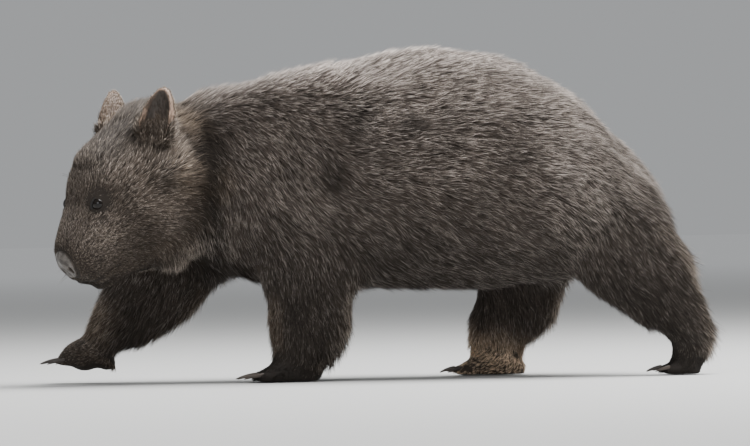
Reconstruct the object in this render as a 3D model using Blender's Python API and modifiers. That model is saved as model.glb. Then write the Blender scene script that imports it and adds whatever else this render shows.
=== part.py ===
"""A bare-nosed wombat in mid-stride, life size, in metres.

It faces -X with its left side towards -Y and stands on the floor at Z = 0. The body is modelled whole, out to
the tips of its coat, and is then parted into named pieces.
"""

import math
from dataclasses import dataclass

import bmesh
import bpy
import numpy as np
from mathutils import Matrix, Vector
from mathutils.bvhtree import BVHTree

# The gap that touching pieces keep, and how far the soles are modelled below the floor before they are cut flat
GAP = 0.0003
SOLE_DEPTH = 0.005

# The grid that fuses the flesh, how often its joins are then evened, how many triangles it keeps, and how far
# the muzzle and feet are spared the evening and the thinning out
FUSE_GRID = 0.003
SOFT_ROUNDS = 60
BODY_TRIANGLES = 3200
SPARED_EVENING = 0.95
SPARED_THINNING = 0.42
# Where that fine detail starts along the head and down the legs, and over what length it comes in
FINE_MUZZLE = (0.04, 0.10)
FINE_FEET = (0.068, 0.020)

# How many sides each form has round it, and how many rings stand between two given ones
BODY_SIDES = 28
LIMB_SIDES = 16
TOE_SIDES = 10
CLAW_SIDES = 6
TAIL_SIDES = 12
EAR_SIDES = 14
PAD_SIDES = 20
NOSTRIL_SIDES = 12
CUT_SIDES = 20
BODY_STEPS = 4
LIMB_STEPS = 3

# The trunk: place along X, top of the back, underside, half width and squareness of the section
TRUNK = (
    (-0.270, 0.348, 0.195, 0.062, 2.0),
    (-0.235, 0.365, 0.155, 0.076, 2.1),
    (-0.205, 0.373, 0.136, 0.090, 2.2),
    (-0.170, 0.381, 0.124, 0.106, 2.2),
    (-0.110, 0.392, 0.114, 0.117, 2.3),
    (-0.020, 0.409, 0.109, 0.131, 2.4),
    (0.070, 0.417, 0.108, 0.141, 2.4),
    (0.150, 0.406, 0.110, 0.146, 2.4),
    (0.220, 0.377, 0.118, 0.142, 2.3),
    (0.280, 0.329, 0.130, 0.122, 2.2),
    (0.325, 0.279, 0.142, 0.096, 2.1),
    (0.355, 0.237, 0.154, 0.066, 2.0),
    (0.371, 0.205, 0.166, 0.030, 2.0),
)
# How far up its section the trunk is widest, and the same for the head
TRUNK_WIDEST = 0.46
HEAD_WIDEST = 0.42

# The head stands in its own frame: its axis runs from the nape to the nose, turned to its left and dipped
HEAD_AT = Vector((-0.243, -0.022, 0.266))
HEAD_TURN = math.radians(27.0)
HEAD_DIP = math.radians(38.0)
# Place along the axis, top and bottom from the axis, half width and squareness
HEAD = (
    (-0.060, 0.066, -0.085, 0.058, 2.0),
    (-0.015, 0.097, -0.100, 0.074, 2.2),
    (0.030, 0.105, -0.098, 0.087, 2.4),
    (0.080, 0.093, -0.082, 0.084, 2.5),
    (0.118, 0.075, -0.065, 0.068, 2.5),
    (0.150, 0.056, -0.051, 0.055, 2.4),
    (0.174, 0.041, -0.041, 0.047, 2.4),
    (0.189, 0.029, -0.030, 0.038, 2.3),
    (0.197, 0.013, -0.013, 0.024, 2.1),
)

# Features of the head, each as place along the axis, out to the side, and up from it
EYE_RADIUS = 0.0082
EYE_SIDES = 14
EYE_AT = (0.129, 0.053)
EYE_DEPTH = 0.0060
LID_THICKNESS = 0.0022
LID_STRETCH = (1.18, 1.0, 0.90)
EYE_OPENING = (0.0068, 0.0048, 0.0080)
EAR_AT = (0.0200, 0.0632, 0.0750)
EAR_RADII = (0.0245, 0.0125, 0.0400)
EAR_CUP = (0.0195, 0.0115, 0.0340)
EAR_LIFT = 0.0165
# How far the cup's hollow lies ahead of and above the ear's middle, how the ear leans out and back, how much it
# narrows upwards, and how far from it the locks of the coat keep
EAR_HOLLOW = (0.0065, 0.0020)
EAR_LEAN = (0.22, 0.05)
EAR_NARROWING = 0.24
EAR_CLEAR = 0.036
# Which way each ear opens, in degrees outwards from straight ahead
EAR_OPENING = {"left": 36.0, "right": 66.0}
NOSE_AT = (0.184, 0.0, 0.006)
NOSE_RADII = (0.0165, 0.0230, 0.0200)
NOSE_PART_AT = (0.197, 0.0, 0.006)
NOSE_PART = (0.0210, 0.0225, 0.0195)
NOSTRIL_AT = (0.1985, 0.0125, -0.001)
NOSTRIL_RADII = (0.0085, 0.0036, 0.0052)
NOSTRIL_TURN = 28
# The mouth: place along and up at its front and corners, how far its front is tucked in under the nose, the
# radius of its groove, and the cleft from the nose down to it
MOUTH_FRONT = (0.190, -0.022)
MOUTH_CORNER = (0.150, -0.027)
MOUTH_TUCK = 0.045
MOUTH_RADIUS = 0.0016
MOUTH_STEPS = 8
CLEFT_TOP = 0.004
CLEFT_STEPS = 3
CLEFT_SHARE = 0.8

# Each leg: joint places X, Y, Z, then half thickness fore and aft and across
LEGS = {
    "fore_left": (
        (-0.100, -0.058, 0.240, 0.070, 0.046),
        (-0.088, -0.070, 0.170, 0.076, 0.047),
        (-0.084, -0.074, 0.118, 0.071, 0.041),
        (-0.086, -0.074, 0.080, 0.054, 0.035),
        (-0.091, -0.074, 0.048, 0.042, 0.031),
        (-0.097, -0.074, 0.026, 0.034, 0.030),
        (-0.102, -0.074, 0.004, 0.027, 0.028),
    ),
    "fore_right": (
        (-0.160, 0.050, 0.240, 0.070, 0.046),
        (-0.220, 0.062, 0.180, 0.070, 0.047),
        (-0.278, 0.068, 0.127, 0.061, 0.041),
        (-0.313, 0.070, 0.092, 0.048, 0.035),
        (-0.337, 0.070, 0.067, 0.035, 0.030),
        (-0.353, 0.070, 0.049, 0.024, 0.028),
        (-0.361, 0.070, 0.040, 0.017, 0.025),
    ),
    "hind_left": (
        (0.240, -0.068, 0.235, 0.080, 0.052),
        (0.298, -0.076, 0.172, 0.082, 0.052),
        (0.337, -0.080, 0.126, 0.064, 0.043),
        (0.363, -0.080, 0.090, 0.045, 0.035),
        (0.386, -0.080, 0.059, 0.031, 0.029),
        (0.387, -0.080, 0.034, 0.024, 0.028),
        (0.380, -0.080, 0.010, 0.018, 0.027),
    ),
    "hind_right": (
        (0.205, 0.066, 0.235, 0.080, 0.052),
        (0.187, 0.076, 0.160, 0.080, 0.052),
        (0.175, 0.082, 0.110, 0.066, 0.044),
        (0.156, 0.084, 0.068, 0.045, 0.036),
        (0.150, 0.084, 0.040, 0.034, 0.031),
        (0.152, 0.084, 0.018, 0.031, 0.030),
        (0.153, 0.084, 0.000, 0.028, 0.027),
    ),
}

# Muscle under the coat that rounds the joins: centre and radii, and its turn about Y in degrees
MUSCLES = (
    ((-0.110, -0.052, 0.235), (0.085, 0.060, 0.105), 5),
    ((-0.150, 0.046, 0.240), (0.085, 0.060, 0.100), 30),
    ((0.232, -0.066, 0.222), (0.092, 0.074, 0.105), -25),
    ((0.203, 0.070, 0.215), (0.092, 0.070, 0.105), 0),
    ((-0.215, -0.014, 0.255), (0.060, 0.072, 0.085), 0),
    ((0.310, -0.042, 0.195), (0.045, 0.050, 0.078), -35),
    ((0.285, 0.052, 0.205), (0.060, 0.058, 0.085), -10),
)
# Bulges of the face, in the head's frame: cheek, upper lip and chin
FACE = (
    ((0.075, 0.050, -0.030), (0.046, 0.037, 0.044)),
    ((0.168, 0.024, -0.018), (0.026, 0.024, 0.020)),
    ((0.158, 0.000, -0.040), (0.026, 0.026, 0.013)),
)


@dataclass(frozen=True)
class Foot:
    """A foot in its own frame: heel at the origin, ahead along its toes, up from its sole."""

    heel: tuple
    sections: tuple
    toe_base: float
    toe_length: float
    toe_radius: float
    claw_length: float
    toe_count: int = 5
    sole: float = -SOLE_DEPTH

    def matrix(self):
        """From the foot's frame (ahead, to its right, up) to the world, where ahead is -X."""
        return Matrix.Translation(self.heel) @ Matrix.Diagonal((-1, 1, 1, 1))


# A paw's sections from the heel: place ahead, half width and height of its top
FORE_PAW = (
    (-0.002, 0.014, 0.012),
    (0.006, 0.023, 0.022),
    (0.020, 0.028, 0.030),
    (0.040, 0.030, 0.032),
    (0.058, 0.030, 0.024),
    (0.070, 0.027, 0.015),
)
HIND_PAW = (
    (-0.002, 0.013, 0.016),
    (0.006, 0.021, 0.028),
    (0.022, 0.026, 0.034),
    (0.050, 0.028, 0.032),
    (0.068, 0.028, 0.022),
    (0.080, 0.026, 0.014),
)
HIND_BALL = (
    (-0.004, 0.014, 0.012),
    (0.004, 0.023, 0.022),
    (0.016, 0.027, 0.027),
    (0.028, 0.027, 0.019),
    (0.038, 0.025, 0.013),
)
RAISED_PAW = (
    (-0.002, 0.014, 0.014),
    (0.006, 0.023, 0.026),
    (0.020, 0.028, 0.034),
    (0.040, 0.030, 0.037),
    (0.056, 0.030, 0.031),
    (0.068, 0.027, 0.019),
)
# Where each foot's heel is and its sections, then its toes' place, length and radius and its claws' length
FEET = {
    "fore_left": Foot((-0.074, -0.074, 0.0), FORE_PAW, 0.058, 0.026, 0.0066, 0.021),
    "fore_right": Foot((-0.331, 0.070, 0.0205), RAISED_PAW, 0.052, 0.025, 0.0064, 0.021, sole=0.003),
    "hind_left": Foot((0.396, -0.080, 0.0), HIND_BALL, 0.030, 0.022, 0.0064, 0.015, toe_count=4),
    "hind_right": Foot((0.184, 0.084, 0.0), HIND_PAW, 0.072, 0.022, 0.0064, 0.015, toe_count=4),
}
# A toe: how far the outer ones splay, in degrees, and stand back, its lift off the sole, its height against its
# width, and its rings as place along it and swell
TOE_SPLAY = 12
TOE_SET_BACK = 0.010
TOE_LIFT = 0.0015
TOE_HEIGHT = 1.15
TOE_RINGS = ((-0.5, 0.9), (0.0, 1.0), (0.45, 1.08), (0.75, 1.0), (0.95, 0.75), (1.05, 0.35))
# A claw: half width and half height at its root, how far it bends down, its rise over the toe's middle, where
# along the toe it starts, how fast it narrows, and its rings before the tip
CLAW_HALF = (0.0026, 0.0036)
CLAW_DROP = 0.0058
CLAW_RISE = 0.0018
CLAW_START = 0.70
CLAW_TAPER = 0.7
CLAW_STEPS = 5
# The pads under a lifted paw: place ahead, radii and drop below the heel's level
LIFTED_PADS = ((0.010, (0.013, 0.019, 0.010), 0.006), (0.038, (0.018, 0.024, 0.011), 0.006))

# The tail lies in the coat of the rump: its root, tip and radii, and its rings as place along it and swell
TAIL_ROOT = (0.330, 0.0, 0.236)
TAIL_TIP = (0.374, 0.0, 0.182)
TAIL_RADII = (0.011, 0.006)
TAIL_RINGS = ((0.0, 1.0), (0.3, 0.96), (0.6, 0.86), (0.8, 0.72), (0.93, 0.50), (1.0, 0.20))

# Where the legs are parted from the trunk: centre and radii of a scoop, and its turn about Y in degrees
LEG_SCOOPS = {
    "foreleg_left": ((-0.085, -0.098, 0.058), (0.102, 0.078, 0.125), 0),
    "foreleg_right": ((-0.292, 0.090, 0.098), (0.078, 0.078, 0.145), 45),
    "hindleg_left": ((0.352, -0.098, 0.070), (0.090, 0.078, 0.150), -35),
    "hindleg_right": ((0.165, 0.098, 0.055), (0.108, 0.078, 0.125), 0),
}
# Where each foot is parted from its leg: a point, and the way the foot lies from it
ANKLES = {
    "forefoot_left": ((-0.095, -0.074, 0.028), (-0.25, 0, -1.0)),
    "forefoot_right": ((-0.352, 0.070, 0.047), (-0.75, 0, -1.0)),
    "hindfoot_left": ((0.390, -0.080, 0.036), (-0.35, 0, -1.0)),
    "hindfoot_right": ((0.150, 0.084, 0.032), (-0.20, 0, -1.0)),
}
ANKLE_REACH = 0.2
# Where the head is parted from the neck, and the neck from the trunk, in the same way
HEAD_CUT = ((-0.232, -0.010, 0.27), (-0.974, -0.225, 0.0))
NECK_CUT = ((-0.186, 0.0, 0.27), (-1, 0, 0))

# The coat of locks over the trunk, cheeks and upper legs: how far the locks stand over the flesh's core, the
# size of a lock on the trunk, how far apart the roots are along and across the lie, and the share of that size
# on the legs and head
COAT_DEPTH = 0.008
LOCK_LENGTH = 0.136
LOCK_WIDTH = 0.070
LOCK_THICKNESS = 0.0050
LOCK_SPACING = (0.104, 0.061)
SMALL_LOCK = 0.74
LOCK_SEED = 11
# How far a lock may turn off the lie, in radians, how its size and width vary, and how much it thins to its tip
LOCK_TURN = 0.24
LOCK_SIZES = (0.90, 1.10)
LOCK_WIDTHS = (0.92, 1.08)
LOCK_THINNING = 0.6
# The least share of the full coat where locks are rooted, and where that coat starts up the head and legs and
# over what length it comes in
LOCK_COAT = 0.55
COAT_HEAD = (0.095, 0.050)
COAT_LEGS = (0.060, 0.045)
# A lock's rings: place along it, share of its width, and height over the core as a share of the coat's depth
LOCK_RINGS = (
    (0.00, 0.70, -0.90),
    (0.30, 1.00, 0.05),
    (0.60, 0.68, 0.50),
    (0.82, 0.33, 0.80),
    (1.00, 0.00, 1.00),
)

# The way the coat lies on the trunk, down the legs and rump, and away from the nose
LIE_BACK = Vector((1.0, 0.0, -0.22))
LIE_DOWN = Vector((0.20, 0.0, -1.0))
LIE_FROM_NOSE = Vector((math.cos(HEAD_TURN), math.sin(HEAD_TURN), -0.30))
# Where each of these takes over: a place and the length over which it comes in
DOWN_LEGS = (0.215, 0.080)
OUT_TO_LEGS = (0.03, 0.03)
OVER_RUMP = (0.25, 0.10)
RUMP_DOWN = 0.8
TO_HEAD = (-0.200, 0.035)
ABOVE_CHEST = (0.13, 0.03)
SMALL_BELOW = (0.175, 0.050)
SMALL_OUTSIDE = (0.03, 0.02)
SMALL_AHEAD = (-0.190, 0.040)

# Finishes: colour and roughness
FINISHES = {
    "coat_grey": ((0.090, 0.075, 0.066), 0.85),
    "coat_dark": ((0.050, 0.040, 0.034), 0.85),
    "head": ((0.115, 0.092, 0.075), 0.85),
    "ear": ((0.300, 0.225, 0.180), 0.80),
    "nose": ((0.130, 0.120, 0.115), 0.55),
    "eye": ((0.012, 0.009, 0.008), 0.08),
    "claw": ((0.180, 0.140, 0.105), 0.45),
}


def past(value, start, length):
    """0 up to the start, then rising to 1 over the length. It takes one value or many."""
    return np.clip((value - start) / length, 0, 1)


def short_of(value, start, length):
    """0 down to the start, then rising to 1 below it over the length."""
    return np.clip((start - value) / length, 0, 1)


def smooth_rows(rows, steps):
    """Rows of numbers read at even steps from a curve that passes through each given row."""
    points = np.array(rows, float)
    padded = np.vstack((2 * points[0] - points[1], points, 2 * points[-1] - points[-2]))
    found = []
    for i in range(len(points) - 1):
        a, b, c, d = padded[i : i + 4]
        for k in range(steps):
            t = k / steps
            bend = (2 * a - 5 * b + 4 * c - d) * t**2 + (3 * b - a - 3 * c + d) * t**3
            found.append(0.5 * (2 * b + (c - a) * t + bend))
    found.append(points[-1])
    return np.array(found)


def squared_ring(sides, squareness):
    """Points round a unit circle, squared off by the given amount: how far across, and how far up."""
    angle = np.arange(sides) * 2 * np.pi / sides
    across, up = np.cos(angle), np.sin(angle)
    power = 2 / squareness
    return np.sign(across) * abs(across) ** power, np.sign(up) * abs(up) ** power


def mesh_object(name, bm):
    """A new object, in the scene, from a bmesh whose faces are turned to point outwards."""
    bmesh.ops.recalc_face_normals(bm, faces=bm.faces[:])
    mesh = bpy.data.meshes.new(name)
    bm.to_mesh(mesh)
    bm.free()
    made = bpy.data.objects.new(name, mesh)
    bpy.context.scene.collection.objects.link(made)
    return made


def loft(name, rings):
    """A closed skin over rings of points. A last ring of one point makes a tip."""
    bm = bmesh.new()
    made = [[bm.verts.new(p) for p in ring] for ring in rings]
    for first, second in zip(made, made[1:]):
        for i, corner in enumerate(first):
            after = first[(i + 1) % len(first)]
            if len(second) == 1:
                bm.faces.new((corner, after, second[0]))
            else:
                bm.faces.new((corner, after, second[(i + 1) % len(first)], second[i]))
    bm.faces.new(made[0][::-1])
    if len(made[-1]) > 1:
        bm.faces.new(made[-1])
    return mesh_object(name, bm)


def ellipsoid(name, centre, radii, turn=None, segments=24):
    """A closed ellipsoid, turned by a 3 x 3 matrix about its own centre."""
    bm = bmesh.new()
    bmesh.ops.create_uvsphere(bm, u_segments=segments, v_segments=segments // 2, radius=1.0)
    turned = (turn or Matrix.Identity(3)).to_4x4()
    place = Matrix.Translation(centre) @ turned @ Matrix.Diagonal((*radii, 1.0))
    bmesh.ops.transform(bm, matrix=place, verts=bm.verts[:])
    return mesh_object(name, bm)


def half_space(name, point, ahead, reach=2.0):
    """A large box whose one face passes through the point and looks away from the given direction."""
    bm = bmesh.new()
    bmesh.ops.create_cube(bm, size=reach)
    turn = Vector(ahead).to_track_quat("Z", "Y").to_matrix().to_4x4()
    place = Matrix.Translation(point) @ turn @ Matrix.Translation((0, 0, reach / 2))
    bmesh.ops.transform(bm, matrix=place, verts=bm.verts[:])
    return mesh_object(name, bm)


def applied(obj):
    """The object with its modifiers worked into its mesh."""
    graph = bpy.context.evaluated_depsgraph_get()
    mesh = bpy.data.meshes.new_from_object(obj.evaluated_get(graph))
    old = obj.data
    obj.modifiers.clear()
    obj.data = mesh
    bpy.data.meshes.remove(old)
    return obj


def combine(body, others, operation):
    """Joins, cuts or crosses a body with closed objects, which are then removed."""
    group = bpy.data.collections.new("operands")
    bpy.context.scene.collection.children.link(group)
    for other in others:
        bpy.context.scene.collection.objects.unlink(other)
        group.objects.link(other)
    boolean = body.modifiers.new("combine", "BOOLEAN")
    boolean.operation = operation
    boolean.operand_type = "COLLECTION"
    boolean.collection = group
    boolean.solver = "MANIFOLD"
    applied(body)
    for other in others:
        bpy.data.objects.remove(other)
    bpy.data.collections.remove(group)
    return body


def copied(obj, name):
    """A copy of an object with its own mesh."""
    twin = obj.copy()
    twin.data = obj.data.copy()
    twin.name = name
    bpy.context.scene.collection.objects.link(twin)
    return twin


def largest_body(obj):
    """Keeps only the largest closed surface of an object's mesh."""
    bm = bmesh.new()
    bm.from_mesh(obj.data)
    unseen = set(bm.faces)
    groups = []
    while unseen:
        stack = [unseen.pop()]
        group = []
        while stack:
            face = stack.pop()
            group.append(face)
            for other in {f for edge in face.edges for f in edge.link_faces} & unseen:
                unseen.remove(other)
                stack.append(other)
        groups.append(group)
    groups.sort(key=len)
    for group in groups[:-1]:
        bmesh.ops.delete(bm, geom=group, context="FACES")
    bm.to_mesh(obj.data)
    bm.free()
    return obj


def without_folds(obj):
    """Removes the folds without thickness that a cut can leave, which are pairs of faces on the same corners."""
    bm = bmesh.new()
    bm.from_mesh(obj.data)
    bmesh.ops.triangulate(bm, faces=bm.faces[:])
    by_corners = {}
    for face in bm.faces:
        by_corners.setdefault(frozenset(face.verts), []).append(face)
    folds = [face for faces in by_corners.values() if len(faces) == 2 for face in faces]
    bmesh.ops.delete(bm, geom=folds, context="FACES")
    bm.to_mesh(obj.data)
    bm.free()
    return obj


def carve(body, name, region, larger):
    """Parts a named piece from the body: what lies in the region, with a gap left by the larger region."""
    piece = copied(body, name)
    combine(piece, [region], "INTERSECT")
    combine(body, [larger], "DIFFERENCE")
    return largest_body(without_folds(piece))


def carve_plane(body, name, point, ahead, reach=2.0):
    """Parts off what lies ahead of a plane, within a box of the given reach."""
    point, ahead = Vector(point), Vector(ahead).normalized()
    near = half_space("near", point, ahead, reach)
    return carve(body, name, near, half_space("far", point - GAP * ahead, ahead, reach + 2 * GAP))


def carve_ball(body, name, centre, radii, turn):
    """Parts off what lies inside an ellipsoid."""
    grown = [r + GAP for r in radii]
    inner = ellipsoid("inner", centre, radii, turn, CUT_SIDES)
    return carve(body, name, inner, ellipsoid("outer", centre, grown, turn, CUT_SIDES))


def head_matrix():
    """From the head's frame (along its axis, to its right, up) to the world."""
    level = math.cos(HEAD_DIP)
    axis = Vector((-math.cos(HEAD_TURN) * level, -math.sin(HEAD_TURN) * level, -math.sin(HEAD_DIP)))
    right = Vector((-math.sin(HEAD_TURN), math.cos(HEAD_TURN), 0.0))
    up = right.cross(axis)
    return Matrix.Translation(HEAD_AT) @ Matrix((axis, right, up)).transposed().to_4x4()


def trunk():
    """The barrel of the body, from inside the head to the rump."""
    rings = []
    for x, top, low, half, square in smooth_rows(TRUNK, BODY_STEPS):
        across, up = squared_ring(BODY_SIDES, square)
        middle = low + TRUNK_WIDEST * (top - low)
        height = np.where(up > 0, top - middle, middle - low)
        rings.append([(x, half * a, middle + h * u) for a, u, h in zip(across, up, height)])
    return loft("trunk", rings)


def skull():
    """The head, from inside the neck to the nose."""
    place = head_matrix()
    rings = []
    for s, top, low, half, square in smooth_rows(HEAD, BODY_STEPS):
        across, up = squared_ring(BODY_SIDES, square)
        middle = low + HEAD_WIDEST * (top - low)
        height = np.where(up > 0, top - middle, middle - low)
        rings.append([place @ Vector((s, half * a, middle + h * u)) for a, u, h in zip(across, up, height)])
    return loft("skull", rings)


def limb(name, joints):
    """A leg's flesh along its joints. Each ring stands square to the leg, with its width along Y."""
    rows = smooth_rows(joints, LIMB_STEPS)
    rings = []
    for i, (x, y, z, long_half, wide_half) in enumerate(rows):
        along = Vector(rows[min(i + 1, len(rows) - 1)][:3] - rows[max(i - 1, 0)][:3]).normalized()
        side = Vector((0, 1, 0))
        side = (side - along * side.dot(along)).normalized()
        fore = along.cross(side)
        across, up = squared_ring(LIMB_SIDES, 2.2)
        middle = Vector((x, y, z))
        rings.append([middle + fore * (long_half * a) + side * (wide_half * u) for a, u in zip(across, up)])
    return loft(name, rings)


def paw(name, foot):
    """The palm or sole of a foot, and its toes."""
    place = foot.matrix()
    rings = []
    for ahead, half, top in smooth_rows(foot.sections, LIMB_STEPS):
        across, up = squared_ring(LIMB_SIDES, 2.6)
        middle, height = (top + foot.sole) / 2, (top - foot.sole) / 2
        rings.append([place @ Vector((ahead, half * a, middle + height * u)) for a, u in zip(across, up)])
    return [loft(name, rings)] + [toe(name, foot, i) for i in range(foot.toe_count)]


def toe_line(foot, i):
    """A toe's root, the way it points and its length, in the foot's frame."""
    share = i / (foot.toe_count - 1) * 2 - 1
    wide = max(s[1] for s in foot.sections) - foot.toe_radius
    splay = math.radians(TOE_SPLAY) * share
    set_back = TOE_SET_BACK * share**2
    root = Vector((foot.toe_base - set_back, wide * share, foot.toe_radius + TOE_LIFT))
    return root, Vector((math.cos(splay), math.sin(splay), 0)), foot.toe_length


def toe(name, foot, i):
    """One toe, from inside the palm to the root of its claw."""
    root, ahead, length = toe_line(foot, i)
    side = ahead.cross(Vector((0, 0, 1)))
    place = foot.matrix()
    rings = []
    for share, swell in TOE_RINGS:
        middle = root + ahead * (length * share)
        across, up = squared_ring(TOE_SIDES, 2.0)
        radius = foot.toe_radius * swell
        height = TOE_HEIGHT * radius
        rings.append([
            place @ (middle + side * (radius * a) + Vector((0, 0, height * u))) for a, u in zip(across, up)
        ])
    return loft(f"{name}_toe_{i}", rings)


def claw(name, foot, i, grown=0.0):
    """One claw, from inside its toe to its tip, bent down along its length."""
    root, ahead, length = toe_line(foot, i)
    side = ahead.cross(Vector((0, 0, 1)))
    start = root + ahead * (length * CLAW_START) + Vector((0, 0, CLAW_RISE))
    total = foot.claw_length + length * (1 - CLAW_START)
    place = foot.matrix()
    rings = []
    for k in range(CLAW_STEPS):
        share = k / CLAW_STEPS
        drop = CLAW_DROP * share**2
        reach = total * share - (grown if k == 0 else 0.0)
        middle = start + ahead * reach - Vector((0, 0, drop))
        wide, high = (half * (1 - share) ** CLAW_TAPER + grown for half in CLAW_HALF)
        across, up = squared_ring(CLAW_SIDES, 2.0)
        rings.append([
            place @ (middle + side * (wide * a) + Vector((0, 0, high * u))) for a, u in zip(across, up)
        ])
    rings.append([place @ (start + ahead * (total + grown) - Vector((0, 0, CLAW_DROP)))])
    return loft(name, rings)


def tail(name, grown=0.0):
    """The short tail, a blunt cone."""
    root, tip = Vector(TAIL_ROOT), Vector(TAIL_TIP)
    along = (tip - root).normalized()
    side = Vector((0, 1, 0))
    fore = along.cross(side)
    length = (tip - root).length
    rings = []
    for share, swell in TAIL_RINGS:
        radius = (TAIL_RADII[0] + (TAIL_RADII[1] - TAIL_RADII[0]) * share) * swell + grown
        reach = length * share + (grown if share == 1.0 else -grown if share == 0.0 else 0.0)
        middle = root + along * reach
        across, up = squared_ring(TAIL_SIDES, 2.0)
        rings.append([middle + side * (radius * a) + fore * (radius * u) for a, u in zip(across, up)])
    return loft(name, rings)


def fused(pieces):
    """One smooth closed body from overlapping pieces."""
    bm = bmesh.new()
    for piece in pieces:
        bm.from_mesh(piece.data)
        bpy.data.objects.remove(piece)
    body = mesh_object("body", bm)
    remesh = body.modifiers.new("fuse", "REMESH")
    remesh.mode = "VOXEL"
    remesh.voxel_size = FUSE_GRID
    applied(body)
    soften(body)
    return body


def head_frame_of(points):
    """Points of the world as the head's frame has them."""
    inside = np.array(head_matrix().inverted())
    return points @ inside[:3, :3].T + inside[:3, 3]


def detail_of(points):
    """How finely each point of the body is kept: 0 on the trunk, up to 1 on the muzzle and feet."""
    local = head_frame_of(points)
    muzzle = past(local[:, 0], *FINE_MUZZLE)
    muzzle *= (abs(local[:, 1]) < 0.10) & (local[:, 2] > -0.10) & (points[:, 0] < -0.25)
    feet = short_of(points[:, 2], *FINE_FEET)
    return np.maximum(muzzle, feet)


def vertex_group(body, name, weights):
    """Stores one weight for each vertex."""
    group = body.vertex_groups.new(name=name)
    for i, weight in enumerate(weights):
        group.add([i], float(weight), "REPLACE")
    return group


def points_of(body):
    """The body's vertices as rows."""
    points = np.empty(len(body.data.vertices) * 3, np.float32)
    body.data.vertices.foreach_get("co", points)
    return points.reshape(-1, 3).astype(float)


def soften(body):
    """Rounds the joins between the fused pieces, most on the trunk and least on the muzzle and feet."""
    vertex_group(body, "soft", 1 - SPARED_EVENING * detail_of(points_of(body)))
    smooth = body.modifiers.new("soften", "SMOOTH")
    smooth.factor = 0.5
    smooth.iterations = SOFT_ROUNDS
    smooth.vertex_group = "soft"
    applied(body)


def thin_out(body):
    """Leaves the body as few triangles, more of them on the muzzle and feet."""
    body.vertex_groups.clear()
    vertex_group(body, "fine", 1 - SPARED_THINNING * detail_of(points_of(body)))
    thin = body.modifiers.new("thin", "DECIMATE")
    thin.ratio = BODY_TRIANGLES / (2 * len(body.data.polygons))
    thin.vertex_group = "fine"
    thin.vertex_group_factor = 1.0
    thin.use_collapse_triangulate = True
    applied(body)
    body.vertex_groups.clear()


def coat_of(points):
    """How much of the full coat each point carries: 1 on the trunk, fading to 0 on the face and feet."""
    on_head = short_of(head_frame_of(points)[:, 0], *COAT_HEAD)
    on_legs = past(points[:, 2], *COAT_LEGS)
    return np.where(points[:, 0] < -0.20, np.minimum(on_head, on_legs), on_legs)


def sink(body):
    """Draws the flesh in under the coat, by all of the coat's depth where the coat is full."""
    vertex_group(body, "coat", coat_of(points_of(body)))
    draw_in = body.modifiers.new("sink", "DISPLACE")
    draw_in.strength = -COAT_DEPTH
    draw_in.mid_level = 0.0
    draw_in.vertex_group = "coat"
    applied(body)


def lie_at(point, normal):
    """The way the coat lies at a point: away from the nose, back along the trunk and down the legs."""
    legs = short_of(point.z, *DOWN_LEGS) * past(abs(point.y), *OUT_TO_LEGS)
    rump = RUMP_DOWN * past(point.x, *OVER_RUMP)
    head = short_of(point.x, *TO_HEAD) * past(point.z, *ABOVE_CHEST)
    way = LIE_BACK.lerp(LIE_DOWN, max(legs, rump)).lerp(LIE_FROM_NOSE, head)
    return (way - normal * way.dot(normal)).normalized()


def lock_share(point):
    """The size of a lock at a point, as a share of one on the trunk."""
    legs = short_of(point.z, *SMALL_BELOW) * past(abs(point.y), *SMALL_OUTSIDE)
    head = short_of(point.x, *SMALL_AHEAD)
    return 1.0 + (SMALL_LOCK - 1.0) * max(legs, head)


def lock_roots(body, tree):
    """Places for the locks, spread evenly and at random over the part of the body that carries a full coat."""
    points = points_of(body)
    order = np.random.default_rng(LOCK_SEED).permutation(np.flatnonzero(coat_of(points) > LOCK_COAT))
    ears = [head_matrix() @ Vector((EAR_AT[0], EAR_AT[1] * side, EAR_AT[2])) for side in (-1, 1)]
    roots, kept = [], np.empty((0, 3))
    for i in order:
        point = Vector(points[i])
        if min((point - ear).length for ear in ears) < EAR_CLEAR:
            continue
        normal = tree.find_nearest(point)[1]
        way = lie_at(point, normal)
        side = normal.cross(way)
        share = lock_share(point)
        apart = kept - points[i]
        along = (apart @ np.array(way)) / (LOCK_SPACING[0] * share)
        across = (apart @ np.array(side)) / (LOCK_SPACING[1] * share)
        deep = (apart @ np.array(normal)) / (LOCK_SPACING[1] * share)
        if len(kept) and (along**2 + across**2 + deep**2).min() < 1:
            continue
        roots.append(point)
        kept = np.vstack((kept, points[i]))
    return roots


def lock(root, tree, random):
    """One lock: a flat, tapered strip that follows the lie of the coat, with its root sunk in the flesh."""
    share = lock_share(root) * random.uniform(*LOCK_SIZES)
    length = LOCK_LENGTH * share
    width = LOCK_WIDTH * share * random.uniform(*LOCK_WIDTHS)
    turn = random.uniform(-LOCK_TURN, LOCK_TURN)
    at, done, rings = root, 0.0, []
    for place, wide, high in LOCK_RINGS:
        normal = tree.find_nearest(at)[1]
        way = Matrix.Rotation(turn, 3, normal) @ lie_at(at, normal)
        at, normal, _, _ = tree.find_nearest(at + way * (length * (place - done)))
        done = place
        side = normal.cross(way).normalized()
        middle = at + normal * (COAT_DEPTH * high)
        if wide == 0:
            rings.append([middle])
            break
        half = width * wide / 2
        ridge = LOCK_THICKNESS * (1 - LOCK_THINNING * place)
        rings.append([
            middle + side * half - normal * LOCK_THICKNESS / 2,
            middle + normal * ridge,
            middle - side * half - normal * LOCK_THICKNESS / 2,
        ])
    return loft("lock", rings)


def locks(body):
    """All the locks of the coat."""
    tree = tree_of(body)
    random = np.random.default_rng(LOCK_SEED)
    return [lock(root, tree, random) for root in lock_roots(body, tree)]


def flat_soles(body):
    """Cuts the soles level with the floor."""
    return combine(body, [half_space("floor", Vector((0, 0, 0)), (0, 0, -1))], "DIFFERENCE")


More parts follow.
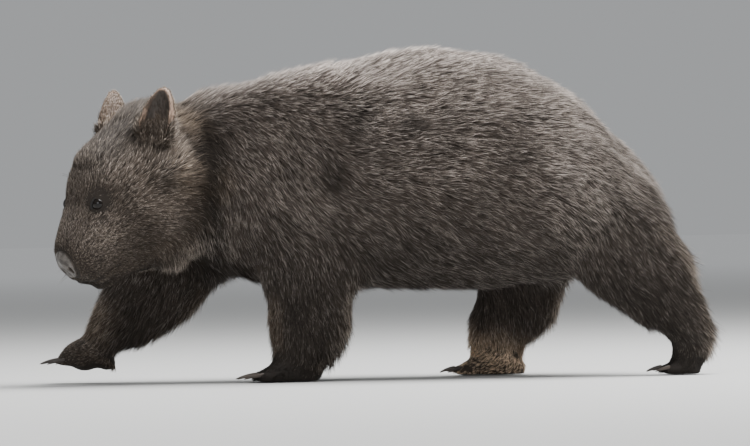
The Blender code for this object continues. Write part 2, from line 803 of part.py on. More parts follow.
def ear_frame(name, side):
    """An ear's own axes as columns: across its opening, the way it opens, and up. Side is 1 on the right."""
    right = Vector((-math.sin(HEAD_TURN), math.cos(HEAD_TURN), 0.0)) * side
    ahead = Vector((-math.cos(HEAD_TURN), -math.sin(HEAD_TURN), 0.0))
    angle = math.radians(EAR_OPENING[name])
    opens = ahead * math.cos(angle) + right * math.sin(angle)
    out_lean, back_lean = EAR_LEAN
    up = (Vector((0, 0, 1)) + right * out_lean - ahead * back_lean).normalized()
    across = opens.cross(up).normalized()
    return Matrix((across, up.cross(across), up)).transposed()


def ear_bell(name, centre, radii, frame):
    """A closed shape like an ellipsoid, broader below than above."""
    made = ellipsoid(name, Vector((0, 0, 0)), (1, 1, 1), None, EAR_SIDES)
    for vert in made.data.vertices:
        across, ahead, up = vert.co
        narrow = 1 - EAR_NARROWING * up
        local = Vector((across * radii[0] * narrow, ahead * radii[1] * narrow, up * radii[2]))
        vert.co = centre + frame @ local
    return made


def ear(name, side):
    """One ear, a cup with a rounded tip, and the cutter of the socket its foot stands in."""
    frame = ear_frame(name, side)
    s, out, up = EAR_AT
    centre = head_matrix() @ Vector((s, out * side, up)) + frame.col[2] * EAR_LIFT
    shell = ear_bell("ear", centre, EAR_RADII, frame)
    hollow = centre + frame.col[1] * EAR_HOLLOW[0] + frame.col[2] * EAR_HOLLOW[1]
    combine(shell, [ear_bell("cup", hollow, EAR_CUP, frame)], "DIFFERENCE")
    socket = ear_bell("socket", centre, [r + GAP for r in EAR_RADII], frame)
    return largest_body(shell), socket


def eye_place(tree, side):
    """An eye's centre and the way it looks, found on the surface of the head."""
    place = head_matrix()
    s, up = EYE_AT
    outside = place @ Vector((s, 0.2 * side, up))
    inwards = (place.to_3x3() @ Vector((0, -side, 0))).normalized()
    hit, normal, _, _ = tree.ray_cast(outside, inwards)
    return hit - normal * EYE_DEPTH, normal


def eye_turn(looks):
    """An eye's own axes as columns: along the head, up its side, and the way the eye looks."""
    along = head_matrix().to_3x3() @ Vector((1, 0, -0.15))
    along = (along - looks * along.dot(looks)).normalized()
    return Matrix((along, looks.cross(along), looks)).transposed()


def lids(body, centre, looks):
    """Raises the rim of the lids round an eye, then opens its socket between them."""
    rim = EYE_RADIUS + LID_THICKNESS
    turn = eye_turn(looks)
    rim_radii = [rim * stretch for stretch in LID_STRETCH]
    combine(body, [ellipsoid("rim", centre, rim_radii, turn, EYE_SIDES)], "UNION")
    combine(body, [ellipsoid("socket", centre, (EYE_RADIUS + GAP,) * 3, turn, EYE_SIDES)], "DIFFERENCE")
    combine(body, [ellipsoid("slit", centre + looks * rim, EYE_OPENING, turn, EYE_SIDES)], "DIFFERENCE")


def eye(name, centre, looks):
    """One eyeball."""
    return ellipsoid(name, centre, (EYE_RADIUS,) * 3, eye_turn(looks), EYE_SIDES)


def mouth_groove(tree):
    """The line between the lips, from one corner of the mouth round the front to the other."""
    place = head_matrix()
    points = []
    reach = 0.30
    for k in range(-MOUTH_STEPS, MOUTH_STEPS + 1):
        share = abs(k) / MOUTH_STEPS
        s = MOUTH_FRONT[0] + (MOUTH_CORNER[0] - MOUTH_FRONT[0]) * share**1.3
        up = MOUTH_FRONT[1] + (MOUTH_CORNER[1] - MOUTH_FRONT[1]) * share
        aim = Vector((s - MOUTH_TUCK * (1 - share), 0, up))
        way = Vector((1 - share, math.copysign(0.15 + share, k) if k else 0, 0)).normalized()
        hit = tree.ray_cast(place @ (aim + way * reach), place.to_3x3() @ -way)[0]
        points.append(hit)
    return tube("groove", points, MOUTH_RADIUS)


def lip_cleft(tree):
    """The short groove from the nose down to the mouth."""
    place = head_matrix()
    points = []
    for k in range(CLEFT_STEPS + 1):
        up = CLEFT_TOP + (MOUTH_FRONT[1] - CLEFT_TOP) * k / CLEFT_STEPS
        points.append(tree.ray_cast(place @ Vector((0.4, 0, up)), place.to_3x3() @ Vector((-1, 0, 0)))[0])
    return tube("cleft", points, MOUTH_RADIUS * CLEFT_SHARE)


def tube(name, points, radius):
    """A closed tube of six sides along points."""
    curve = bpy.data.curves.new(name, "CURVE")
    curve.dimensions = "3D"
    spline = curve.splines.new("POLY")
    spline.points.add(len(points) - 1)
    for point, at in zip(spline.points, points):
        point.co = (*at, 1.0)
    curve.bevel_depth = radius
    curve.bevel_resolution = 1
    curve.use_fill_caps = True
    made = bpy.data.objects.new(name, curve)
    bpy.context.scene.collection.objects.link(made)
    graph = bpy.context.evaluated_depsgraph_get()
    mesh = bpy.data.meshes.new_from_object(made.evaluated_get(graph))
    bpy.data.objects.remove(made)
    bm = bmesh.new()
    bm.from_mesh(mesh)
    bmesh.ops.remove_doubles(bm, verts=bm.verts[:], dist=1e-6)
    bpy.data.meshes.remove(mesh)
    return mesh_object(name, bm)


def nose_pad():
    """The bare pad of the nose, which overlaps the tip of the head."""
    turn = head_matrix().to_3x3()
    return ellipsoid("pad", head_matrix() @ Vector(NOSE_AT), NOSE_RADII, turn, PAD_SIDES)


def nostril(side):
    """The cutter of one nostril."""
    s, out, up = NOSTRIL_AT
    turn = head_matrix().to_3x3() @ Matrix.Rotation(math.radians(NOSTRIL_TURN * side), 3, "Z")
    centre = head_matrix() @ Vector((s, out * side, up))
    return ellipsoid("nostril", centre, NOSTRIL_RADII, turn, NOSTRIL_SIDES)


def tree_of(body):
    """What finds the surface of the body along a line."""
    return BVHTree.FromPolygons([v.co for v in body.data.vertices], [p.vertices[:] for p in body.data.polygons])


def centre_on_origin(objects):
    """Shifts the pieces together so that the middle of their box lies over the origin."""
    everything = np.vstack([points_of(obj) for obj in objects])
    middle = (everything.min(axis=0) + everything.max(axis=0)) / 2
    for obj in objects:
        obj.data.transform(Matrix.Translation((-middle[0], -middle[1], 0)))


def material_of(slot):
    """The material of a slot, made when it is first asked for."""
    found = bpy.data.materials.get(slot)
    if found is None:
        colour, roughness = FINISHES[slot]
        found = bpy.data.materials.new(slot)
        found.use_nodes = True
        shader = found.node_tree.nodes["Principled BSDF"]
        shader.inputs["Base Color"].default_value = (*colour, 1.0)
        shader.inputs["Roughness"].default_value = roughness
    return found


def finish(obj, name, collection, slot):
    """Names a piece, gives it its material and moves it to the wombat's collection."""
    obj.name = name
    obj.data.name = name
    obj.data.materials.clear()
    obj.data.materials.append(material_of(slot))
    bpy.context.scene.collection.objects.unlink(obj)
    collection.objects.link(obj)


def head_pieces():
    """The skull, the nose's pad and the bulges of the face."""
    place = head_matrix()
    pieces = [skull(), nose_pad()]
    for at, radii in FACE:
        for side in (-1, 1):
            centre = place @ Vector((at[0], at[1] * side, at[2]))
            pieces.append(ellipsoid("face", centre, radii, place.to_3x3()))
    return pieces


def leg_pieces():
    """The muscles, the legs, their feet and the pads under the lifted paw."""
    pieces = []
    for centre, radii, turn in MUSCLES:
        pieces.append(ellipsoid("muscle", centre, radii, Matrix.Rotation(math.radians(turn), 3, "Y")))
    for name, joints in LEGS.items():
        pieces.append(limb(name, joints))
        pieces.extend(paw(name, FEET[name]))
    lifted = FEET["fore_right"].matrix()
    for ahead, radii, drop in LIFTED_PADS:
        pieces.append(ellipsoid("pad", lifted @ Vector((ahead, 0, radii[2] - drop)), radii))
    return pieces


def coated_body():
    """The whole body in its coat of locks, standing flat on the floor."""
    body = fused([trunk()] + head_pieces() + leg_pieces())
    sink(body)
    coat = locks(body)
    thin_out(body)
    combine(body, coat, "UNION")
    return flat_soles(body)


def open_face(body):
    """Cuts the mouth, the nostrils and the eyes' sockets, and returns the eyes."""
    tree = tree_of(body)
    places = {"eye_left": eye_place(tree, -1), "eye_right": eye_place(tree, 1)}
    combine(body, [mouth_groove(tree)], "DIFFERENCE")
    combine(body, [lip_cleft(tree)], "DIFFERENCE")
    combine(body, [nostril(-1), nostril(1)], "DIFFERENCE")
    parts = {}
    for name, (centre, looks) in places.items():
        lids(body, centre, looks)
        parts[name] = (eye(name, centre, looks), "eye")
    return parts


def set_in(body):
    """Returns the tail, the ears and the claws, each in a socket that is cut for it."""
    parts = {}
    sockets = [tail("tail_socket", GAP)]
    for name, side in (("left", -1), ("right", 1)):
        shell, socket = ear(name, side)
        parts[f"ear_{name}"] = (shell, "ear")
        sockets.append(socket)
    parts["tail"] = (tail("tail"), "coat_grey")
    for leg, foot in FEET.items():
        for i in range(foot.toe_count):
            name = f"claw_{leg}_{i + 1}"
            parts[name] = (claw(name, foot, i), "claw")
            sockets.append(claw("socket", foot, i, GAP))
    combine(body, sockets, "DIFFERENCE")
    return parts


def parted(body):
    """Parts the body into its named pieces, from the nose and feet to the torso, which is what is left."""
    place = head_matrix()
    parts = {}
    nose = carve_ball(body, "nose", place @ Vector(NOSE_PART_AT), NOSE_PART, place.to_3x3())
    parts["nose"] = (nose, "nose")
    for name, (point, ahead) in ANKLES.items():
        parts[name] = (carve_plane(body, name, point, ahead, ANKLE_REACH), "coat_dark")
    for name, (centre, radii, turn) in LEG_SCOOPS.items():
        turned = Matrix.Rotation(math.radians(turn), 3, "Y")
        parts[name] = (carve_ball(body, name, centre, radii, turned), "coat_dark")
    parts["head"] = (carve_plane(body, "head", *HEAD_CUT), "head")
    parts["neck"] = (carve_plane(body, "neck", *NECK_CUT), "coat_grey")
    parts["torso"] = (largest_body(without_folds(body)), "coat_grey")
    return parts


def main():
    """Builds the wombat."""
    for obj in list(bpy.data.objects):
        bpy.data.objects.remove(obj)
    collection = bpy.data.collections.new("wombat")
    bpy.context.scene.collection.children.link(collection)
    body = coated_body()
    parts = open_face(body)
    parts.update(set_in(body))
    parts.update(parted(body))
    for name, (obj, slot) in parts.items():
        finish(obj, name, collection, slot)
    centre_on_origin([obj for obj, _ in parts.values()])


main()
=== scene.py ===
"""The looks of a life-size bare-nosed wombat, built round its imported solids."""

import logging
import math
from dataclasses import dataclass
from enum import Enum

import bmesh
import bpy
import numpy as np
from mathutils import Matrix, Vector
from mathutils.bvhtree import BVHTree
from mathutils.kdtree import KDTree


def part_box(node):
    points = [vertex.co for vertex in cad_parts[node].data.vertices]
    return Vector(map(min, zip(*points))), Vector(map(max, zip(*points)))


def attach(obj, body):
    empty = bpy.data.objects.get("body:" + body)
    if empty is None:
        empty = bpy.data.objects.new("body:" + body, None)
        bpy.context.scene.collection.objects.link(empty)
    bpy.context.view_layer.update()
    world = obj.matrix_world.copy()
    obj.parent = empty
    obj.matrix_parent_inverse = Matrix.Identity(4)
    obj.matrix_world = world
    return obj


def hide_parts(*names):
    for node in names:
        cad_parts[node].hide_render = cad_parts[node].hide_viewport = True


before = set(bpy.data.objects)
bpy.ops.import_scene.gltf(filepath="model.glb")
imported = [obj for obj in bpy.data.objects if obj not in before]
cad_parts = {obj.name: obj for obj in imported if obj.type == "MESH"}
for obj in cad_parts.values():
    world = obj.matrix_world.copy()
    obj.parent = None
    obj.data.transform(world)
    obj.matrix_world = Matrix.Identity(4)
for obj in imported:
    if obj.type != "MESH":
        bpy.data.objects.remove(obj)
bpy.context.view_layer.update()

log = logging.getLogger("wombat")
BODY = "root"
BAKE_MAP = "OFBake"
EYE_DROP = 0.0020
SIDES = ("left", "right")
Triple = tuple[float, float, float]
Colour = tuple[float, float, float, float]


class Space(Enum):
    """Which axes a zone's numbers are in."""

    BODY = "body"
    HEAD = "head"


class Sides(Enum):
    """Which sides of the wombat a zone covers."""

    BOTH = "both"
    LEFT = "left"
    RIGHT = "right"


@dataclass(frozen=True)
class HeadFrame:
    """The head's own axes: along it from the nape to the nose, to its right, and up."""

    at: Triple = (-0.2382, -0.0219, 0.2660)
    turn: float = math.radians(27.0)
    dip: float = math.radians(38.0)

    def matrix(self) -> Matrix:
        """Works out where the head's axes lie.

        Returns:
            The matrix from the head's axes to the world.
        """
        level = math.cos(self.dip)
        axis = Vector((-math.cos(self.turn) * level, -math.sin(self.turn) * level, -math.sin(self.dip)))
        right = Vector((-math.sin(self.turn), math.cos(self.turn), 0.0))
        up = right.cross(axis)
        return Matrix.Translation(self.at) @ Matrix((axis, right, up)).transposed().to_4x4()

    def local(self, points: np.ndarray) -> np.ndarray:
        """Returns points of the world in the head's axes."""
        inside = np.array(self.matrix().inverted())
        return points @ inside[:3, :3].T + inside[:3, 3]

    def world(self, way: Triple) -> np.ndarray:
        """Returns a direction of the head's axes in the world."""
        return np.array(self.matrix().to_3x3() @ Vector(way))


HEAD = HeadFrame()


@dataclass(frozen=True)
class Zone:
    """A soft-edged ellipsoid of the body, inside which something takes another value.

    Args:
        centre: middle, in metres, for the left side where the zone is on both.
        radii: half sizes at which the zone has faded out.
        value: a number, or a direction.
        strength: how far the value wins in the middle.
        space: the axes that centre, radii and a direction are in.
        sides: the sides of the wombat that the zone is on.
        parts: the solids that it is kept to, or none for all.
    """

    centre: Triple
    radii: Triple
    value: float | Triple
    strength: float = 1.0
    space: Space = Space.BODY
    sides: Sides = Sides.BOTH
    parts: tuple[str, ...] = ()

    def weight(self, points: np.ndarray, parts: np.ndarray) -> np.ndarray:
        """Works out how strongly the zone acts.

        Args:
            points: places in the world, as rows.
            parts: the name of the solid that each point belongs to.

        Returns:
            A share for each point, 0 outside the zone.
        """
        if self.space is Space.HEAD:
            points = HEAD.local(points)
        found = np.zeros(len(points))
        for side in {Sides.BOTH: (-1, 1), Sides.LEFT: (-1,), Sides.RIGHT: (1,)}[self.sides]:
            centre = np.array((self.centre[0], abs(self.centre[1]) * side, self.centre[2]))
            near = np.clip(1 - (((points - centre) / np.array(self.radii)) ** 2).sum(axis=1), 0, 1)
            found = np.maximum(found, near * near * (3 - 2 * near))
        if self.parts:
            found = found * np.isin(parts, self.parts)
        return found * self.strength

    def world_value(self) -> np.ndarray:
        """Returns the zone's direction in the world, at unit length."""
        way = HEAD.world(self.value) if self.space is Space.HEAD else np.array(self.value)
        return way / np.linalg.norm(way)


def smooth_step(low: float, high: float, values: np.ndarray) -> np.ndarray:
    """Returns 0 below low, 1 above high, and an even slope between them."""
    share = np.clip((values - low) / (high - low), 0, 1)
    return share * share * (3 - 2 * share)


def on_head(*rows: tuple) -> tuple[Zone, ...]:
    """Returns zones in the head's axes, from rows of centre, radii, value and, if not whole, strength."""
    return tuple(Zone(*row, space=Space.HEAD) for row in rows)


def blended(
    found: np.ndarray, zones: tuple[Zone, ...], points: np.ndarray, parts: np.ndarray
) -> np.ndarray:
    """Draws values towards those of the zones, one zone after another.

    Args:
        found: a number or a direction at each point.
        zones: the zones, in order.
        points: places in the world, as rows.
        parts: the name of the solid that each point belongs to.

    Returns:
        The drawn values.
    """
    for zone in zones:
        share, value = zone.weight(points, parts), zone.value
        if found.ndim == 2:
            share, value = share[:, None], zone.world_value()
        found = found * (1 - share) + value * share
    return found


def strongest(zones: tuple[Zone, ...], points: np.ndarray, parts: np.ndarray) -> np.ndarray:
    """Finds the highest value that any of the zones gives.

    Args:
        zones: the zones.
        points: places in the world, as rows.
        parts: the name of the solid that each point belongs to.

    Returns:
        A number for each point, 0 outside all the zones.
    """
    found = np.zeros(len(points))
    for zone in zones:
        found = np.maximum(found, zone.value * zone.weight(points, parts))
    return found


def unit(rows: np.ndarray) -> np.ndarray:
    """Returns the rows at unit length."""
    return rows / np.maximum(np.linalg.norm(rows, axis=1, keepdims=True), 1e-9)


def flattened(way: np.ndarray, normal: np.ndarray) -> np.ndarray:
    """Returns directions laid along the surface that has these normals."""
    return way - normal * (way * normal).sum(axis=1, keepdims=True)


def turned(way: np.ndarray, other: np.ndarray, angle: np.ndarray) -> np.ndarray:
    """Returns directions turned towards others by an angle for each."""
    return way * np.cos(angle)[:, None] + other * np.sin(angle)[:, None]


def distance_to(points: np.ndarray, line: np.ndarray) -> np.ndarray:
    """Finds how near points are to a line.

    Args:
        points: places in the world, as rows.
        line: places along the line, as rows.

    Returns:
        The distance from each point to the nearest place of the line.
    """
    near = np.full(len(points), np.inf)
    for at in line:
        near = np.minimum(near, np.linalg.norm(points - at, axis=1))
    return near


def read_at(rows: np.ndarray, corners: np.ndarray, shares: np.ndarray) -> np.ndarray:
    """Returns rows of the vertices, read inside triangles at shares of their three corners."""
    return (rows[corners] * (shares if rows.ndim == 1 else shares[..., None])).sum(axis=1)


def nearest_of(points: np.ndarray) -> KDTree:
    """Builds a tree that finds the nearest of some points.

    Args:
        points: places in the world, as rows.

    Returns:
        The tree.
    """
    tree = KDTree(len(points))
    for k, at in enumerate(points):
        tree.insert(at, k)
    tree.balance()
    return tree


def object_of(name: str, bm: bmesh.types.BMesh) -> bpy.types.Object:
    """Puts a smooth-shaded object into the scene.

    Args:
        name: the name it gets.
        bm: its mesh, which is freed.

    Returns:
        The object.
    """
    mesh = bpy.data.meshes.new(name)
    bm.to_mesh(mesh)
    bm.free()
    mesh.shade_smooth()
    made = bpy.data.objects.new(name, mesh)
    bpy.context.scene.collection.objects.link(made)
    return made


def copy_of_node(node: str) -> bmesh.types.BMesh:
    """Copies a solid's mesh, with its loose triangles merged.

    Args:
        node: the solid's name.

    Returns:
        The copy.
    """
    bm = bmesh.new()
    bm.from_mesh(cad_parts[node].data)
    bmesh.ops.remove_doubles(bm, verts=bm.verts[:], dist=1e-6)
    return bm


def applied(piece: bpy.types.Object) -> bpy.types.Object:
    """Works a piece's modifiers into its mesh.

    Args:
        piece: the piece.

    Returns:
        The same piece.
    """
    graph = bpy.context.evaluated_depsgraph_get()
    mesh = bpy.data.meshes.new_from_object(piece.evaluated_get(graph))
    old = piece.data
    piece.modifiers.clear()
    piece.data = mesh
    bpy.data.meshes.remove(old)
    return piece


def remeshed(piece: bpy.types.Object, grid: float) -> bpy.types.Object:
    """Makes a piece one even surface.

    Args:
        piece: the piece.
        grid: the size of the grid, in metres.

    Returns:
        The same piece.
    """
    remesh = piece.modifiers.new("one surface", "REMESH")
    remesh.mode = "VOXEL"
    remesh.voxel_size = grid
    remesh.use_smooth_shade = True
    return applied(piece)


def smoothed(piece: bpy.types.Object, rounds: int, weights: np.ndarray | None = None) -> bpy.types.Object:
    """Evens out a piece's surface.

    Args:
        piece: the piece.
        rounds: how many times the surface is evened.
        weights: how far each vertex takes part, or none for all of them.

    Returns:
        The same piece.
    """
    smooth = piece.modifiers.new("even", "SMOOTH")
    smooth.factor = 0.5
    smooth.iterations = rounds
    if weights is not None:
        group = piece.vertex_groups.new(name="even")
        for i, weight in enumerate(weights):
            group.add([i], float(weight), "REPLACE")
        smooth.vertex_group = "even"
    applied(piece)
    piece.vertex_groups.clear()
    return piece


def read_vertices(piece: bpy.types.Object, field: str) -> np.ndarray:
    """Reads one field of a piece's vertices.

    Args:
        piece: the piece.
        field: the field's name.

    Returns:
        The field as rows of three.
    """
    rows = np.empty(len(piece.data.vertices) * 3, np.float32)
    piece.data.vertices.foreach_get(field, rows)
    return rows.reshape(-1, 3).astype(float)


def points_of(piece: bpy.types.Object) -> np.ndarray:
    """Returns the vertices of a piece as rows."""
    return read_vertices(piece, "co")


def normals_of(piece: bpy.types.Object) -> np.ndarray:
    """Returns the normals at a piece's vertices as rows."""
    return read_vertices(piece, "normal")


def tree_of(piece: bpy.types.Object) -> BVHTree:
    """Returns a tree that finds places on the surface of a piece."""
    return BVHTree.FromPolygons(points_of(piece).tolist(), [p.vertices[:] for p in piece.data.polygons])


def triangles_of(mesh: bpy.types.Mesh) -> tuple[np.ndarray, np.ndarray]:
    """Reads the triangles of a mesh.

    Args:
        mesh: the mesh.

    Returns:
        The three vertices of each triangle, and its three face corners.
    """
    mesh.calc_loop_triangles()
    found = []
    for field in ("vertices", "loops"):
        rows = np.empty(len(mesh.loop_triangles) * 3, np.int32)
        mesh.loop_triangles.foreach_get(field, rows)
        found.append(rows.reshape(-1, 3))
    return found[0], found[1]


def areas_of(points: np.ndarray, corners: np.ndarray) -> np.ndarray:
    """Returns the area of each triangle with these corners."""
    a, b, c = (points[corners[:, k]] for k in range(3))
    return np.linalg.norm(np.cross(b - a, c - a), axis=1) / 2


def unwrap(piece: bpy.types.Object, margin: float) -> None:
    """Lays a piece out flat, in a layout of its own.

    Args:
        piece: the piece.
        margin: the gap left between its patches.
    """
    bpy.ops.object.select_all(action="DESELECT")
    piece.select_set(True)
    bpy.context.view_layer.objects.active = piece
    piece.data.uv_layers.new(name=BAKE_MAP)
    bpy.ops.object.mode_set(mode="EDIT")
    bpy.ops.mesh.select_all(action="SELECT")
    bpy.ops.uv.smart_project(angle_limit=math.radians(70), island_margin=margin)
    bpy.ops.object.mode_set(mode="OBJECT")


def layout_of(mesh: bpy.types.Mesh) -> np.ndarray:
    """Reads the flat layout of a mesh.

    Args:
        mesh: the mesh.

    Returns:
        The place of each face corner on the layout, as rows.
    """
    places = np.empty(len(mesh.loops) * 2, np.float32)
    mesh.uv_layers[BAKE_MAP].data.foreach_get("uv", places)
    return places.reshape(-1, 2)


def set_points(piece: bpy.types.Object, points: np.ndarray) -> None:
    """Moves the vertices of a piece to the given rows."""
    piece.data.vertices.foreach_set("co", points.astype(np.float32).ravel())
    piece.data.update()


def store(mesh: bpy.types.Mesh, name: str, rows: np.ndarray) -> None:
    """Stores three numbers for each vertex of a mesh under a name."""
    attribute = mesh.attributes.new(name, "FLOAT_VECTOR", "POINT")
    attribute.data.foreach_set("vector", rows.astype(np.float32).ravel())


class Nodes:
    """A short way to lay out the nodes of a material or a node group."""

    def __init__(self, tree: bpy.types.NodeTree) -> None:
        """Starts with the tree that the nodes go into."""
        self.tree = tree

    def feed(self, node: bpy.types.Node, inputs: dict) -> None:
        """Sets a node's inputs, or links those for which a socket is given.

        Args:
            node: the node.
            inputs: values or sockets, by the name or number of the input.
        """
        for name, value in inputs.items():
            if isinstance(value, bpy.types.NodeSocket):
                self.tree.links.new(value, node.inputs[name])
            else:
                node.inputs[name].default_value = value

    def add(self, kind: str, inputs: dict | None = None, **settings: object) -> bpy.types.Node:
        """Adds a node.

        Args:
            kind: the node's type, without its leading ShaderNode.
            inputs: values or sockets for its inputs, by name or number.
            settings: values for its own properties.

        Returns:
            The new node.
        """
        node = self.tree.nodes.new("ShaderNode" + kind)
        for name, value in settings.items():
            setattr(node, name, value)
        self.feed(node, inputs or {})
        return node

    def stored(self, name: str) -> bpy.types.bpy_prop_collection:
        """Returns the three numbers that the mesh stores under a name."""
        rows = self.add("Attribute", attribute_name=name).outputs["Vector"]
        return self.add("SeparateXYZ", {0: rows}).outputs

    def math(self, operation: str, *values: object, clamp: bool = False) -> bpy.types.NodeSocket:
        """Returns the result of a sum on numbers or sockets."""
        inputs = dict(enumerate(values))
        return self.add("Math", inputs, operation=operation, use_clamp=clamp).outputs[0]

    def mix(self, share: object, first: object, second: object, blend: str = "MIX") -> bpy.types.NodeSocket:
        """Returns a mix of two colours."""
        node = self.add("Mix", {0: share, 6: first, 7: second}, data_type="RGBA", blend_type=blend)
        return node.outputs[2]

    def ramp(
        self, value: object, low: float, high: float, first: object = 0.0, last: object = 1.0
    ) -> bpy.types.NodeSocket:
        """Returns a value read from an even slope between two limits."""
        inputs = {"Value": value, "From Min": low, "From Max": high, "To Min": first, "To Max": last}
        return self.add("MapRange", inputs, interpolation_type="SMOOTHSTEP").outputs[0]

    def noise(
        self, scale: float, detail: float = 2.0, stretch: Triple = (1, 1, 1)
    ) -> bpy.types.NodeSocket:
        """Lays even noise on object coordinates.

        Args:
            scale: how many swells there are to a metre.
            detail: how many finer layers it has.
            stretch: how much closer the swells lie along each axis.

        Returns:
            The noise, about 0.5.
        """
        place = self.add("TexCoord").outputs["Object"]
        mapped = self.add("Mapping", {"Vector": place, "Scale": stretch}).outputs[0]
        return self.add("TexNoise", {"Vector": mapped, "Scale": scale, "Detail": detail}).outputs[0]

    def bump(self, height: bpy.types.NodeSocket, strength: object, distance: object) -> bpy.types.NodeSocket:
        """Returns normals tilted by a height."""
        return self.add("Bump", {"Height": height, "Strength": strength, "Distance": distance}).outputs[0]


class Surface(Nodes):
    """A new material, whose shader is fed by its nodes."""

    def __init__(self, name: str) -> None:
        """Makes the material.

        Args:
            name: the name it gets.
        """
        self.made = bpy.data.materials.new(name)
        self.made.use_nodes = True
        super().__init__(self.made.node_tree)

    def finished(self, inputs: dict) -> bpy.types.Material:
        """Returns the material, with the inputs of its shader set or linked."""
        self.feed(self.tree.nodes["Principled BSDF"], inputs)
        return self.made


class Group(Nodes):
    """A new node group, with inputs and outputs of its own."""

    def __init__(self, name: str, takes: dict[str, str], gives: dict[str, str]) -> None:
        """Makes the group.

        Args:
            name: the group's name.
            takes: the kind of each input, by name.
            gives: the kind of each output, by name.
        """
        super().__init__(bpy.data.node_groups.new(name, "ShaderNodeTree"))
        for way, sockets in (("INPUT", takes), ("OUTPUT", gives)):
            for socket, kind in sockets.items():
                self.tree.interface.new_socket(socket, in_out=way, socket_type="NodeSocket" + kind)
        self.given = self.tree.nodes.new("NodeGroupInput").outputs

    def finished(self, outputs: dict) -> bpy.types.NodeTree:
        """Returns the group, with its outputs linked."""
        self.feed(self.tree.nodes.new("NodeGroupOutput"), outputs)
        return self.tree


BLACK = (0, 0, 0, 1)
COAT_COLOURS = ("Root", "Hair", "Warm", "Dark", "Pale", "Straw")


def coat_group() -> bpy.types.NodeTree:
    """Makes the node group that colours hair, and the skin under it, from their stored marks.

    Returns:
        A group with the coat's colours as inputs, and a colour and a roughness as outputs.
    """
    found = bpy.data.node_groups.get("coat_colour")
    if found:
        return found
    gives = {"Colour": "Color", "Roughness": "Float"}
    n = Group("coat_colour", dict.fromkeys(COAT_COLOURS, "Color"), gives)
    root, hair, warm_hair, dark_hair, pale_hair, straw = (n.given[name] for name in COAT_COLOURS)
    along, tone, chance = n.stored("hair")
    pale, warm, dark = n.stored("mark")
    body = n.mix(dark, n.mix(warm, hair, warm_hair), dark_hair)
    colour = n.mix(n.ramp(along, 0.0, 0.45), root, body)
    is_pale = n.math("LESS_THAN", chance, pale)
    tip = n.math("MULTIPLY", n.ramp(along, 0.54, 0.84), is_pale)
    tip = n.math("MULTIPLY", tip, n.ramp(pale, 0.05, 0.60, 0.50, 1.0))
    colour = n.mix(tip, colour, n.mix(warm, pale_hair, straw))
    drift = n.ramp(n.noise(34.0, 3.0), 0.30, 0.70, 0.86, 1.14)
    # Brightness follows each tuft's tone, which is raised past 1 where sunlight is painted onto the far hind
    # foot.
    bright = n.math("MULTIPLY", n.math("MULTIPLY_ADD", tone, 1.12, 0.44), drift)
    grey = n.add("CombineXYZ", {0: bright, 1: bright, 2: bright}).outputs[0]
    colour = n.mix(1.0, colour, grey, "MULTIPLY")
    return n.finished({"Colour": colour, "Roughness": n.ramp(along, 0.0, 1.0, 0.85, 0.62)})


def bare_group() -> bpy.types.NodeTree:
    """Makes the node group of bare skin, patchy and cut into grains by fine grooves.

    Returns:
        A group that takes the two colours, the grains to a metre, the roughness of the shaded and of the
        lighter patches and the depth of the grooves, and gives a colour, a roughness and a normal.
    """
    found = bpy.data.node_groups.get("bare_grain")
    if found:
        return found
    takes = {"Base": "Color", "Shade": "Color", "Grain": "Float", "High": "Float", "Low": "Float"}
    gives = {"Colour": "Color", "Roughness": "Float", "Normal": "Vector"}
    n = Group("bare_grain", takes | {"Depth": "Float"}, gives)
    base, shade, grain, high, low, depth = (n.given[k] for k in range(6))
    patchy = n.ramp(n.noise(120.0, 3.0), 0.35, 0.65)
    place = n.add("TexCoord").outputs["Object"]
    cells = n.add("TexVoronoi", {"Vector": place, "Scale": grain}, feature="DISTANCE_TO_EDGE")
    grooves = n.ramp(cells.outputs[0], 0.0, 0.22)
    return n.finished({
        # The grooves take the darker colour as painted shade; the patches mix the two colours at random.
        "Colour": n.mix(grooves, shade, n.mix(patchy, shade, base)),
        "Roughness": n.ramp(patchy, 0.0, 1.0, high, low),
        "Normal": n.bump(grooves, 0.6, depth),
    })


@dataclass(frozen=True)
class CoatFinish:
    """The coarse fur, and the skin where it shows between the hairs."""

    name: str
    root: Colour = (0.022, 0.017, 0.014, 1)
    hair: Colour = (0.086, 0.070, 0.061, 1)
    warm: Colour = (0.185, 0.134, 0.090, 1)
    dark: Colour = (0.026, 0.021, 0.017, 1)
    pale: Colour = (0.720, 0.635, 0.575, 1)
    straw: Colour = (0.600, 0.470, 0.340, 1)
    gloss: float = 0.30
    bump: float = 0.0

    def material(self) -> bpy.types.Material:
        """Makes the material.

        Returns:
            The material.
        """
        n = Surface(self.name)
        colours = {name: getattr(self, name.lower()) for name in COAT_COLOURS}
        group = n.add("Group", colours, node_tree=coat_group())
        inputs = {
            "Base Color": group.outputs["Colour"],
            "Roughness": group.outputs["Roughness"],
            "Specular IOR Level": self.gloss,
        }
        if self.bump:
            inputs["Normal"] = n.bump(n.noise(420.0, 2.0, (0.35, 1.0, 0.8)), self.bump, 0.0015)
        return n.finished(inputs)


@dataclass(frozen=True)
class BareFinish:
    """Bare skin: the pad of the nose, and the lids."""

    name: str
    base: Colour
    shade: Colour
    grain: float = 900.0
    depth: float = 0.0004
    low_rough: float = 0.40
    high_rough: float = 0.70
    coat: float = 0.0

    def material(self) -> bpy.types.Material:
        """Makes the material.

        Returns:
            The material.
        """
        n = Surface(self.name)
        taken = {
            "Base": self.base, "Shade": self.shade, "Grain": self.grain,
            "High": self.high_rough, "Low": self.low_rough, "Depth": self.depth,
        }
        group = n.add("Group", taken, node_tree=bare_group())
        return n.finished({
            "Base Color": group.outputs["Colour"],
            "Roughness": group.outputs["Roughness"],
            "Normal": group.outputs["Normal"],
            "Coat Weight": self.coat,
            "Coat Roughness": 0.25,
        })


